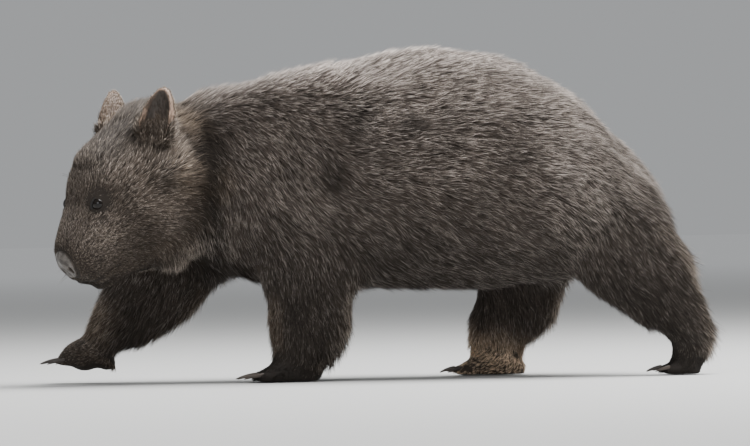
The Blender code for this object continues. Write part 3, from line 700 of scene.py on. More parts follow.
@dataclass(frozen=True)
class HornFinish:
    """The claws, streaked along their length and scuffed."""

    name: str
    base: Colour = (0.030, 0.022, 0.018, 1)
    streak: Colour = (0.075, 0.056, 0.044, 1)

    def material(self) -> bpy.types.Material:
        """Makes the material.

        Returns:
            The material.
        """
        n = Surface(self.name)
        streaks = n.ramp(n.noise(260.0, 3.0, (0.10, 1.0, 0.6)), 0.35, 0.70)
        scuffs = n.ramp(n.noise(700.0, 4.0), 0.40, 0.75)
        return n.finished({
            "Base Color": n.mix(streaks, self.base, self.streak),
            "Roughness": n.ramp(scuffs, 0.0, 1.0, 0.32, 0.62),
            "Normal": n.bump(streaks, 0.4, 0.0003),
        })


@dataclass(frozen=True)
class EyeFinish:
    """The wet eye: a black pupil in a dark brown iris, read from how far each point is from the pupil."""

    name: str
    pupil: Colour = (0.003, 0.002, 0.002, 1)
    iris: Colour = (0.012, 0.007, 0.004, 1)
    white: Colour = (0.006, 0.005, 0.004, 1)

    def material(self) -> bpy.types.Material:
        """Makes the material.

        Returns:
            The material.
        """
        n = Surface(self.name)
        away = n.stored("away")[0]
        threads = n.ramp(n.noise(1500.0, 3.0), 0.3, 0.7, 0.7, 1.3)
        iris = n.mix(n.math("MULTIPLY", threads, 0.5, clamp=True), self.white, self.iris)
        inner = n.mix(n.ramp(away, 0.34, 0.40), self.pupil, iris)
        return n.finished({
            "Base Color": n.mix(n.ramp(away, 0.78, 0.90), inner, self.white),
            "Roughness": 0.10,
            "Specular IOR Level": 0.15,
            "Coat Weight": 0.35,
            "Coat Roughness": 0.03,
        })


@dataclass
class Muzzle:
    """The line of the mouth and the folds of the lips, pressed into the skin."""

    front: tuple[float, float] = (0.190, -0.022)
    corner: tuple[float, float] = (0.150, -0.027)
    steps: int = 26
    line_radius: float = 0.0048
    line_depth: float = 0.0030
    curve: float = 1.3
    aim_back: float = 0.045
    wrap: float = 0.15
    reach: float = 0.3

    def line(self, tree: BVHTree) -> np.ndarray:
        """Finds the mouth, from one corner round the front to the other.

        Args:
            tree: finds the surface of the skin.

        Returns:
            Points along it, as rows.
        """
        place = HEAD.matrix()
        points = []
        for k in range(-self.steps, self.steps + 1):
            share = abs(k) / self.steps
            s = self.front[0] + (self.corner[0] - self.front[0]) * share**self.curve
            up = self.front[1] + (self.corner[1] - self.front[1]) * share
            aim = Vector((s - self.aim_back * (1 - share), 0, up))
            way = Vector((1 - share, math.copysign(self.wrap + share, k) if k else 0, 0)).normalized()
            hit = tree.ray_cast(place @ (aim + way * self.reach), place.to_3x3() @ -way)[0]
            points.append(hit)
        return np.array(points)

    def press(self, points: np.ndarray, normals: np.ndarray, line: np.ndarray) -> np.ndarray:
        """Pushes in the points near the line.

        Args:
            points: the vertices of the skin.
            normals: the normals at them.
            line: points along the mouth.

        Returns:
            The moved points.
        """
        groove = 1 - smooth_step(0.0, self.line_radius, distance_to(points, line))
        return points - normals * (groove * self.line_depth)[:, None]


FLESH = (
    "torso", "neck", "head", "nose", "eye_left", "eye_right", "tail",
    "foreleg_left", "foreleg_right", "hindleg_left", "hindleg_right",
    "forefoot_left", "forefoot_right", "hindfoot_left", "hindfoot_right",
)
FEET = ("forefoot_left", "forefoot_right", "hindfoot_left", "hindfoot_right")
LEGS = ("foreleg_left", "foreleg_right", "hindleg_left", "hindleg_right")
FACE = ("head", "nose", "eye_left", "eye_right")


@dataclass
class Skin:
    """One skin over the whole body, from copies of the solids joined and evened out."""

    grid: float = 0.0039
    overlap: float = 0.0006
    trunk_sink: float = 0.0062
    face_sink: float = 0.0028
    foot_sink: float = 0.0016
    rounds: int = 60
    margin: float = 0.002
    calm: int = 6
    face_even: tuple[float, float] = (0.03, 0.10)
    low_even: tuple[float, float] = (0.06, 0.14)
    kept: float = 0.93
    face_from: tuple[float, float] = (0.05, 0.11)
    fine_from: Triple = (0.095, 0.090, -0.075)
    swells: tuple[Zone, ...] = on_head(
        ((0.045, 0.072, 0.075), (0.070, 0.055, 0.060), 0.010),
        ((0.034, 0.080, 0.050), (0.052, 0.045, 0.044), 0.017),
        ((0.095, 0.035, 0.082), (0.060, 0.055, 0.050), 0.005),
        ((0.004, 0.000, 0.090), (0.056, 0.060, 0.060), 0.013),
        ((0.060, 0.020, 0.092), (0.065, 0.060, 0.050), 0.010),
    )

    def build(self) -> bpy.types.Object:
        """Models the skin.

        Returns:
            The skin.
        """
        bm = bmesh.new()
        names, faces_of = [], []
        for node in FLESH:
            part = copy_of_node(node)
            for vert in part.verts:
                vert.co += vert.normal * self.overlap
            mesh = bpy.data.meshes.new("part")
            part.to_mesh(mesh)
            part.free()
            bm.from_mesh(mesh)
            faces_of.append(len(bm.faces))
            names.append(node)
            bpy.data.meshes.remove(mesh)
        self.source = BVHTree.FromBMesh(bm)
        self.face_part = np.repeat(names, np.diff([0] + faces_of))
        self.piece = object_of("skin", bm)
        remeshed(self.piece, self.grid)
        self.largest()
        self.refine_face()
        parts = self.parts_at(points_of(self.piece))
        smoothed(self.piece, self.rounds, self.evenness(points_of(self.piece), parts))
        self.sink(parts)
        self.swell()
        self.press_mouth()
        unwrap(self.piece, self.margin)
        return self.piece

    def largest(self) -> None:
        """Keeps only the outer surface."""
        bm = bmesh.new()
        bm.from_mesh(self.piece.data)
        unseen = set(bm.verts)
        groups = []
        while unseen:
            stack = [unseen.pop()]
            group = []
            while stack:
                vert = stack.pop()
                group.append(vert)
                for edge in vert.link_edges:
                    other = edge.other_vert(vert)
                    if other in unseen:
                        unseen.remove(other)
                        stack.append(other)
            groups.append(group)
        groups.sort(key=len)
        for group in groups[:-1]:
            bmesh.ops.delete(bm, geom=group, context="VERTS")
        bm.to_mesh(self.piece.data)
        bm.free()

    def refine_face(self) -> None:
        """Gives the muzzle, where folds and lips are small, a finer surface."""
        bm = bmesh.new()
        bm.from_mesh(self.piece.data)
        bm.verts.ensure_lookup_table()
        local = HEAD.local(np.array([v.co[:] for v in bm.verts]))
        ahead, aside, up = self.fine_from
        fine = (local[:, 0] > ahead) & (abs(local[:, 1]) < aside) & (local[:, 2] > up)
        chosen = [e for e in bm.edges if fine[e.verts[0].index] and fine[e.verts[1].index]]
        bmesh.ops.subdivide_edges(bm, edges=chosen, cuts=1, use_grid_fill=True)
        bmesh.ops.triangulate(bm, faces=[f for f in bm.faces if len(f.verts) > 4])
        bm.to_mesh(self.piece.data)
        bm.free()
        self.piece.data.shade_smooth()

    def parts_at(self, points: np.ndarray) -> np.ndarray:
        """Returns the name of the solid nearest to each point."""
        nearest = [self.source.find_nearest(Vector(p))[2] for p in points]
        return self.face_part[nearest]

    def evenness(self, points: np.ndarray, parts: np.ndarray) -> np.ndarray:
        """Works out how far the surface is evened: fully on the trunk, little on face and feet.

        Args:
            points: places in the world, as rows.
            parts: the name of the solid that each point belongs to.

        Returns:
            A share for each point.
        """
        local = HEAD.local(points)
        face = smooth_step(*self.face_even, local[:, 0]) * np.isin(parts, FACE)
        low = 1 - smooth_step(*self.low_even, points[:, 2])
        return np.clip(1 - self.kept * np.maximum(face, low), 0.05, 1)

    def sink(self, parts: np.ndarray) -> None:
        """Draws the skin in under the coat, which reaches out to the tips in the solids.

        Args:
            parts: the name of the solid that each point belongs to.
        """
        points, normals = points_of(self.piece), normals_of(self.piece)
        depth = np.full(len(points), self.trunk_sink)
        local = HEAD.local(points)
        face = smooth_step(*self.face_from, local[:, 0]) * np.isin(parts, FACE)
        depth += (self.face_sink - depth) * face
        depth += (self.foot_sink - depth) * np.isin(parts, FEET)
        for _ in range(self.calm):
            depth = spread(self.piece.data, depth)
        set_points(self.piece, points - normals * depth[:, None])

    def swell(self) -> None:
        """Fills out the brow and the feet of the ears, where the coat stands thick."""
        points, normals = points_of(self.piece), normals_of(self.piece)
        out = strongest(self.swells, points, np.array([]))
        for _ in range(self.calm):
            normals = unit(spread(self.piece.data, normals))
        set_points(self.piece, points + normals * out[:, None])

    def press_mouth(self) -> None:
        """Presses the line of the mouth into the skin."""
        muzzle = Muzzle()
        self.mouth = muzzle.line(tree_of(self.piece))
        set_points(self.piece, muzzle.press(points_of(self.piece), normals_of(self.piece), self.mouth))

    def places(self, points: np.ndarray) -> np.ndarray:
        """Finds where points near the skin are on its flat layout.

        Args:
            points: places in the world, as rows.

        Returns:
            Their places on the layout, as rows.
        """
        mesh = self.piece.data
        tree = tree_of(self.piece)
        layout = layout_of(mesh)
        faces = [tree.find_nearest(Vector(p))[2] for p in points]
        return np.array([layout[mesh.polygons[f].loop_start] for f in faces])


def spread(mesh: bpy.types.Mesh, values: np.ndarray) -> np.ndarray:
    """Averages the values at a mesh's vertices with their neighbours'.

    Args:
        mesh: the mesh.
        values: a number or a row for each vertex.

    Returns:
        The evened values.
    """
    edges = np.empty(len(mesh.edges) * 2, np.int32)
    mesh.edges.foreach_get("vertices", edges)
    a, b = edges.reshape(-1, 2).T
    size = len(values)
    count = np.bincount(a, minlength=size) + np.bincount(b, minlength=size)
    columns = values.reshape(size, -1)
    total = [np.bincount(a, part[b], size) + np.bincount(b, part[a], size) for part in columns.T]
    mean = np.array(total).T / np.maximum(count, 1)[:, None]
    return (0.4 * columns + 0.6 * mean).reshape(values.shape)


@dataclass
class Groom:
    """How the coat lies, how long it is and how it is marked, at each vertex of the skin."""

    skin: Skin
    calm: int = 12
    plain: tuple[float, float] = (0.30, 0.10)
    face_plain: Triple = (0.22, 0.36, 0.45)
    leg_low: tuple[float, float] = (0.20, 0.09)
    # The span across the body over which the far side's legs and feet take painted sunlight.
    far_side: tuple[float, float] = (-0.02, 0.04)
    near_eye: tuple[float, float] = (0.010, 0.026)
    shortest: float = 0.32
    pad_edge: tuple[float, float] = (0.90, 1.10)
    sole_edge: tuple[float, float] = (-0.55, -0.85)
    sole_top: float = 0.035
    way_rounds: int = 10
    length_rounds: int = 8
    mark_rounds: int = 5
    skin_hair: Triple = (0.12, 0.35, 1.0)
    plain_length: float = 0.027
    foot_length: float = 0.0075
    leg_lengths: tuple[float, ...] = (0.011, 0.017, 0.024)
    behind_leg: float = 0.013
    face_at: tuple[float, ...] = (-0.02, 0.03, 0.09, 0.15, 0.19)
    face_lengths: tuple[float, ...] = (0.024, 0.018, 0.0125, 0.0090, 0.0064)
    pad_shift: Triple = (0.004, 0, 0)
    pad_size: Triple = (0.0198, 0.0208, 0.0178)
    eye_bare: tuple[float, float] = (0.0084, 0.0098)
    lip_bare: tuple[float, float] = (0.0018, 0.0034)
    back: Triple = (1.0, 0.0, -0.16)
    combs: tuple[Zone, ...] = (
        Zone((0.05, 0.10, 0.17), (0.34, 0.20, 0.09), (1.0, 0.0, -0.55), parts=("torso",)),
        Zone((-0.14, 0.08, 0.25), (0.14, 0.16, 0.17), (0.62, 0.0, -0.80), parts=("torso", "neck")),
        Zone((-0.20, 0.08, 0.20), (0.08, 0.16, 0.13), (0.45, 0.0, -1.0), parts=("torso", "neck")),
        Zone((0.30, 0.05, 0.20), (0.13, 0.18, 0.13), (0.62, 0.0, -0.90), parts=("torso", "tail")),
        Zone((0.36, 0.00, 0.18), (0.08, 0.10, 0.10), (0.10, 0.0, -1.0), parts=("torso", "tail")),
    )
    leg_ways: tuple[tuple[str, Triple], ...] = (
        ("foreleg_left", (0.22, 0.0, -1.0)),
        ("foreleg_right", (-0.42, 0.0, -0.85)),
        ("hindleg_left", (0.55, 0.0, -0.85)),
        ("hindleg_right", (0.10, 0.0, -1.0)),
        ("forefoot_left", (-0.85, 0.0, -0.55)),
        ("forefoot_right", (-1.0, 0.0, -0.35)),
        ("hindfoot_left", (-0.70, 0.0, -0.70)),
        ("hindfoot_right", (-0.90, 0.0, -0.50)),
    )
    head_combs: tuple[Zone, ...] = on_head(
        ((0.06, 0.10, -0.01), (0.16, 0.08, 0.06), (-0.79, 0.0, -0.62)),
        ((0.05, 0.07, -0.08), (0.14, 0.10, 0.06), (-0.25, 0.0, -1.0)),
        ((0.040, 0.076, 0.064), (0.036, 0.042, 0.046), (-0.55, -0.10, 0.82)),
        ((0.085, 0.060, -0.056), (0.070, 0.050, 0.034), (0.40, 0.0, -0.92)),
    )
    lengths: tuple[Zone, ...] = (
        Zone((0.00, 0.00, 0.12), (0.30, 0.14, 0.06), 0.032),
        Zone((0.33, 0.00, 0.17), (0.10, 0.14, 0.10), 0.032),
        Zone((-0.21, 0.00, 0.24), (0.07, 0.20, 0.15), 0.030, parts=("neck", "torso")),
    )
    tufted: tuple[Zone, ...] = on_head(
        ((0.080, 0.060, -0.060), (0.055, 0.045, 0.034), 0.030),
        ((0.036, 0.074, 0.066), (0.034, 0.036, 0.040), 0.022),
        ((-0.010, 0.060, 0.080), (0.030, 0.040, 0.036), 0.024),
        ((0.060, 0.060, 0.080), (0.060, 0.060, 0.040), 0.016, 0.8),
        ((0.000, 0.000, 0.095), (0.050, 0.055, 0.050), 0.019),
    )
    eye_spots: tuple[str, ...] = ("eye_left", "eye_right")
    pale_zones: tuple[Zone, ...] = (
        Zone((0.05, 0.14, 0.27), (0.30, 0.10, 0.09), 0.38),
        # Along the top of the back and over the rump the pale share is high, partly the grizzled coat and
        # partly painted light from above and behind.
        Zone((0.17, 0.00, 0.41), (0.42, 0.26, 0.18), 0.62),
        Zone((0.31, 0.00, 0.27), (0.19, 0.27, 0.16), 0.90),
        Zone((-0.10, 0.10, 0.27), (0.12, 0.12, 0.10), 0.44),
        Zone((0.33, 0.08, 0.16), (0.09, 0.10, 0.10), 0.36),
        # The belly's pale share is raised as painted light bounced up from the ground.
        Zone((0.0, 0.0, 0.12), (0.44, 0.20, 0.10), 0.26),
        # Few pale hairs in the crease between cheek and shoulder, as painted shade.
        Zone((-0.218, 0.08, 0.21), (0.036, 0.16, 0.15), 0.08),
        Zone((0.16, 0.14, 0.30), (0.035, 0.06, 0.06), 0.22, strength=0.49),
        Zone((-0.05, 0.11, 0.30), (0.03, 0.06, 0.08), 0.20, strength=0.49),
        Zone((0.037, 0.12, 0.312), (0.026, 0.07, 0.017), 0.12, sides=Sides.LEFT),
        Zone((-0.054, 0.12, 0.262), (0.022, 0.07, 0.034), 0.14, sides=Sides.LEFT),
    )
    dark_zones: tuple[Zone, ...] = (
        # The lower body and belly are darkened as painted shade on the underside.
        Zone((0.04, 0.00, 0.14), (0.40, 0.20, 0.12), 0.72),
        Zone((-0.10, 0.09, 0.15), (0.10, 0.10, 0.09), 0.50),
        # A dark band in the crease between cheek and shoulder: painted shade.
        Zone((-0.217, 0.08, 0.225), (0.040, 0.18, 0.16), 1.00, parts=("torso", "neck")),
        Zone((0.037, 0.12, 0.312), (0.026, 0.07, 0.017), 0.60, sides=Sides.LEFT),
        Zone((-0.054, 0.12, 0.262), (0.022, 0.07, 0.034), 0.55, sides=Sides.LEFT),
        Zone((0.194, 0.12, 0.322), (0.036, 0.08, 0.020), 0.50, sides=Sides.LEFT),
        Zone((-0.02, 0.10, 0.33), (0.03, 0.10, 0.04), 0.55, sides=Sides.LEFT),
        Zone((0.27, 0.10, 0.15), (0.12, 0.10, 0.11), 0.62),
    )
    leg_pale: tuple[Zone, ...] = (
        Zone(
            (-0.360, 0.06, 0.085), (0.060, 0.08, 0.060), 0.66,
            sides=Sides.RIGHT, parts=("foreleg_right", "forefoot_right"),
        ),
        Zone((-0.128, 0.08, 0.075), (0.026, 0.08, 0.055), 0.50, sides=Sides.LEFT, parts=("foreleg_left",)),
    )
    # The far hind foot: tan, sandy hair, and painted sunlight that makes it paler and warmer.
    sandy_and_sunlit: Zone = Zone((0.135, 0.084, 0.010), (0.120, 0.080, 0.080), 0.80, sides=Sides.RIGHT)
    face_dark: tuple[Zone, ...] = on_head(
        ((0.088, 0.075, -0.012), (0.016, 0.040, 0.014), 0.55),
        # The brow and crown are darkened, partly their own darker hair and partly painted shade on the top of
        # the head.
        ((0.050, 0.020, 0.100), (0.140, 0.140, 0.085), 0.74),
        ((0.172, 0.000, -0.028), (0.045, 0.055, 0.032), 0.95),
        # Under the jaw: painted shadow.
        ((0.132, 0.000, -0.060), (0.078, 0.068, 0.036), 0.92),
        # The back of the cheek, by the crease to the shoulder, darkened as painted shade.
        ((0.004, 0.100, -0.010), (0.034, 0.050, 0.080), 0.62),
        ((0.133, 0.060, 0.043), (0.019, 0.030, 0.0095), 1.00),
        ((0.146, 0.056, 0.030), (0.016, 0.030, 0.009), 0.90),
        ((0.178, 0.026, -0.004), (0.018, 0.016, 0.020), 0.75),
    )
    face_pale: tuple[Zone, ...] = on_head(
        ((0.066, 0.062, -0.066), (0.056, 0.045, 0.032), 0.60),
        ((0.165, 0.000, 0.040), (0.050, 0.034, 0.022), 0.36),
        ((0.015, 0.000, 0.100), (0.090, 0.120, 0.070), 0.08),
        ((-0.015, 0.070, 0.060), (0.060, 0.080, 0.080), 0.13),
        ((0.150, 0.035, 0.014), (0.044, 0.045, 0.034), 0.40),
    )
    rusty: tuple[Zone, ...] = on_head(
        ((-0.024, 0.055, 0.072), (0.034, 0.050, 0.060), 1.0),
        ((0.020, 0.090, 0.010), (0.060, 0.050, 0.060), 0.70),
    )

    def comb(self) -> np.ndarray:
        """Works out the way the coat lies.

        Returns:
            A direction along the skin for each vertex.
        """
        points, normals = self.points, self.normals
        way = blended(np.tile(np.array(self.back), (len(points), 1)), self.combs, points, self.parts)
        for name, direction in self.leg_ways:
            way[self.parts == name] = np.array(direction)
        face = np.isin(self.parts, FACE)
        head = np.tile(HEAD.world((-1.0, 0.0, 0.0)), (len(points), 1))
        way[face] = blended(head, self.head_combs, points, self.parts)[face]
        for _ in range(self.way_rounds):
            way = spread(self.skin.piece.data, unit(flattened(way, normals)))
        return unit(flattened(way, normals))

    def length(self) -> np.ndarray:
        """Works out how long the hairs are.

        Returns:
            A length for each vertex.
        """
        points, parts = self.points, self.parts
        found = blended(np.full(len(points), self.plain_length), self.lengths, points, parts)
        for leg in LEGS:
            on = parts == leg
            low = points[on, 2].min()
            high = points[on, 2].max()
            found[on] = np.interp(points[on, 2], (low, low + 0.03, high), self.leg_lengths)
            found[on] += self.behind_leg * np.clip(self.normals[on, 0], 0, 1)
        found[np.isin(parts, FEET)] = self.foot_length
        local = HEAD.local(points)
        on = np.isin(parts, FACE)
        found[on] = np.interp(local[on, 0], self.face_at, self.face_lengths)
        found = blended(found, self.tufted, points, parts)
        for _ in range(self.length_rounds):
            found = spread(self.skin.piece.data, found)
        for node in self.eye_spots:
            near = smooth_step(*self.near_eye, self.away_from(node))
            found = found * (self.shortest + (1 - self.shortest) * near)
        return found

    def away_from(self, node: str) -> np.ndarray:
        """Measures how far the skin is from the middle of an eye.

        Args:
            node: the solid's name.

        Returns:
            A distance for each vertex.
        """
        low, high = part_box(node)
        middle = np.array((low + high) / 2) - (0, 0, EYE_DROP)
        return np.linalg.norm(self.points - middle, axis=1)

    def bare(self) -> np.ndarray:
        """Works out how bare the skin is: the nose, the lids, the lips and the soles.

        Returns:
            A share for each vertex, 1 where no hair grows.
        """
        points = self.points
        found = np.zeros(len(points))
        for node in self.eye_spots:
            found = np.maximum(found, 1 - smooth_step(*self.eye_bare, self.away_from(node)))
        low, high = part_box("nose")
        middle = HEAD.local(np.array([(low + high) / 2]))[0]
        pad = ((HEAD.local(points) - middle - self.pad_shift) / self.pad_size) ** 2
        found = np.maximum(found, 1 - smooth_step(*self.pad_edge, pad.sum(axis=1)))
        near = distance_to(points, self.skin.mouth)
        found = np.maximum(found, 1 - smooth_step(*self.lip_bare, near))
        under = smooth_step(*self.sole_edge, self.normals[:, 2])
        low_down = np.isin(self.parts, FEET) & (points[:, 2] < self.sole_top)
        return np.maximum(found, under * low_down)

    def marks(self) -> np.ndarray:
        """Works out the coat's markings, with light and shade painted into them.

        Returns:
            The share of pale hairs, the warmth and the darkness, as a row for each vertex.
        """
        points, parts = self.points, self.parts
        pale = blended(np.full(len(points), self.plain[0]), self.pale_zones, points, parts)
        dark = strongest(self.dark_zones, points, parts)
        warm = np.full(len(points), self.plain[1])
        legs = np.isin(parts, LEGS)
        leg_low = smooth_step(*self.leg_low, points[:, 2]) * legs
        # Legs and feet on the far side get less dark and more pale hair: painted sunlight on the far side.
        far = smooth_step(*self.far_side, points[:, 1])
        pale = np.where(legs, 0.30 - 0.16 * leg_low, pale)
        dark = np.where(legs, 0.30 + 0.36 * leg_low - 0.34 * far * leg_low, dark)
        feet = np.isin(parts, FEET)
        behind = np.clip(self.normals[:, 0] - 0.25, 0, 1) * legs
        pale = np.where(feet, 0.03 + 0.14 * far, pale) + 0.70 * behind
        dark = np.where(feet, 1.00 - 0.60 * far, dark)
        warm = np.where(feet, 0.40, warm + 0.60 * behind)
        for zone in self.leg_pale:
            share = zone.weight(points, parts)
            pale = pale * (1 - share) + zone.value * share
            warm = np.maximum(warm, 0.55 * share)
            dark = dark * (1 - 0.7 * share)
        # On the far hind foot the hair turns paler and warmer, partly its sandy colour and partly painted
        # sunlight.
        self.sandy_and_sunlit_share = self.sandy_and_sunlit.weight(points, parts)
        pale = pale + (self.sandy_and_sunlit.value - pale) * self.sandy_and_sunlit_share
        warm = np.maximum(warm, self.sandy_and_sunlit_share)
        dark = dark * (1 - self.sandy_and_sunlit_share)
        on = np.isin(parts, FACE)
        face = strongest(self.face_dark, points, parts)
        face_pale, face_warm, face_dark = self.face_plain
        pale = np.where(on, face_pale * (1 - 0.9 * smooth_step(0.6, 1.0, face)), pale)
        warm = np.where(on, face_warm, warm)
        dark = np.where(on, np.maximum(face, face_dark), dark)
        pale = blended(pale, self.face_pale, points, parts)
        warm = np.maximum(warm, strongest(self.rusty, points, parts))
        rows = np.column_stack((pale, warm, dark))
        for _ in range(self.mark_rounds):
            rows = spread(self.skin.piece.data, rows)
        return rows

    def build(self) -> None:
        """Works out all the fields, and stores the markings on the skin."""
        piece = self.skin.piece
        self.points, self.normals = points_of(piece), normals_of(piece)
        for _ in range(self.calm):
            self.normals = unit(spread(piece.data, self.normals))
        self.parts = self.skin.parts_at(self.points)
        self.way = self.comb()
        self.hair_length = self.length()
        self.mark = self.marks()
        self.bareness = self.bare()
        mesh = piece.data
        store(mesh, "mark", self.mark)
        store(mesh, "hair", np.tile(self.skin_hair, (len(self.points), 1)))


@dataclass
class Tuft:
    """The shape of one tuft of hair, a tapered strand of three sides."""

    sides: int = 3
    joints: tuple[float, ...] = (0.5,)
    swell: float = 1.25

    def build(self) -> None:
        """Models the strand once: along it from 0 to 1, and across it at unit width."""
        bm = bmesh.new()
        bmesh.ops.create_cone(bm, cap_ends=True, segments=self.sides, radius1=0.5, radius2=0.0, depth=1.0)
        bmesh.ops.remove_doubles(bm, verts=bm.verts[:], dist=1e-5)
        bmesh.ops.translate(bm, verts=bm.verts[:], vec=(0, 0, 0.5))
        for at in self.joints:
            geometry = bm.verts[:] + bm.edges[:] + bm.faces[:]
            bmesh.ops.bisect_plane(bm, geom=geometry, plane_co=(0, 0, at), plane_no=(0, 0, 1), dist=1e-6)
        for vert in bm.verts:
            share = vert.co.z
            if 0 < share < 1:
                wide = (1 - share**1.6) / (1 - share) * 0.8 * self.swell
                vert.co.x *= wide
                vert.co.y *= wide
        bmesh.ops.triangulate(bm, faces=bm.faces[:])
        bmesh.ops.recalc_face_normals(bm, faces=bm.faces[:])
        bm.verts.ensure_lookup_table()
        self.shape = np.array([v.co[:] for v in bm.verts])
        self.faces = np.array([[v.index for v in f.verts] for f in bm.faces])
        bm.free()
        angle = np.arctan2(self.shape[:, 1], self.shape[:, 0]) / (2 * np.pi) + 0.5
        self.patch = np.column_stack((angle, self.shape[:, 2])) * 0.003


@dataclass
class Strands:
    """Many tufts, each with its root, its middle, its tip and its own marks."""

    root: np.ndarray
    middle: np.ndarray
    tip: np.ndarray
    up: np.ndarray
    width: np.ndarray
    tone: np.ndarray
    chance: np.ndarray
    mark: np.ndarray
    place: np.ndarray

    def chosen(self, keep: np.ndarray) -> "Strands":
        """Returns the strands that are kept."""
        return Strands(*(getattr(self, name)[keep] for name in self.__dataclass_fields__))

    def mesh(self, name: str, tuft: Tuft) -> bpy.types.Object:
        """Models every strand as a solid tuft, all in one object.

        Args:
            name: the object's name.
            tuft: the shape of one strand.

        Returns:
            The object.
        """
        t = tuft.shape[:, 2][None, :, None]
        root, middle, tip = self.root[:, None], self.middle[:, None], self.tip[:, None]
        line = root * (1 - t) ** 2 + 2 * middle * t * (1 - t) + tip * t**2
        along = unit(self.tip - self.root)
        side = unit(np.cross(self.up, along))[:, None]
        over = unit(np.cross(along, side[:, 0]))[:, None]
        width = self.width[:, None, None]
        points = line + side * (tuft.shape[:, 0][None, :, None] * width)
        points = points + over * (tuft.shape[:, 1][None, :, None] * width * 0.55)
        count, corners = len(self.root), len(tuft.shape)
        faces = tuft.faces[None] + (np.arange(count) * corners)[:, None, None]
        loops = faces.reshape(-1)
        mesh = bpy.data.meshes.new(name)
        mesh.vertices.add(count * corners)
        mesh.vertices.foreach_set("co", points.astype(np.float32).ravel())
        mesh.loops.add(len(loops))
        mesh.loops.foreach_set("vertex_index", loops.astype(np.int32))
        mesh.polygons.add(len(loops) // 3)
        mesh.polygons.foreach_set("loop_start", np.arange(0, len(loops), 3, dtype=np.int32))
        mesh.update(calc_edges=True)
        mesh.shade_smooth()
        places = self.place[:, None] + tuft.patch[None]
        layer = mesh.uv_layers.new(name=BAKE_MAP)
        layer.data.foreach_set("uv", places.reshape(-1, 2)[loops].astype(np.float32).ravel())
        ones = np.ones((count, corners))
        hair = np.stack((ones * t[..., 0], ones * self.tone[:, None], ones * self.chance[:, None]), axis=2)
        store(mesh, "hair", hair.reshape(-1, 3))
        store(mesh, "mark", np.repeat(self.mark, corners, axis=0))
        made = bpy.data.objects.new(name, mesh)
        bpy.context.scene.collection.objects.link(made)
        return made


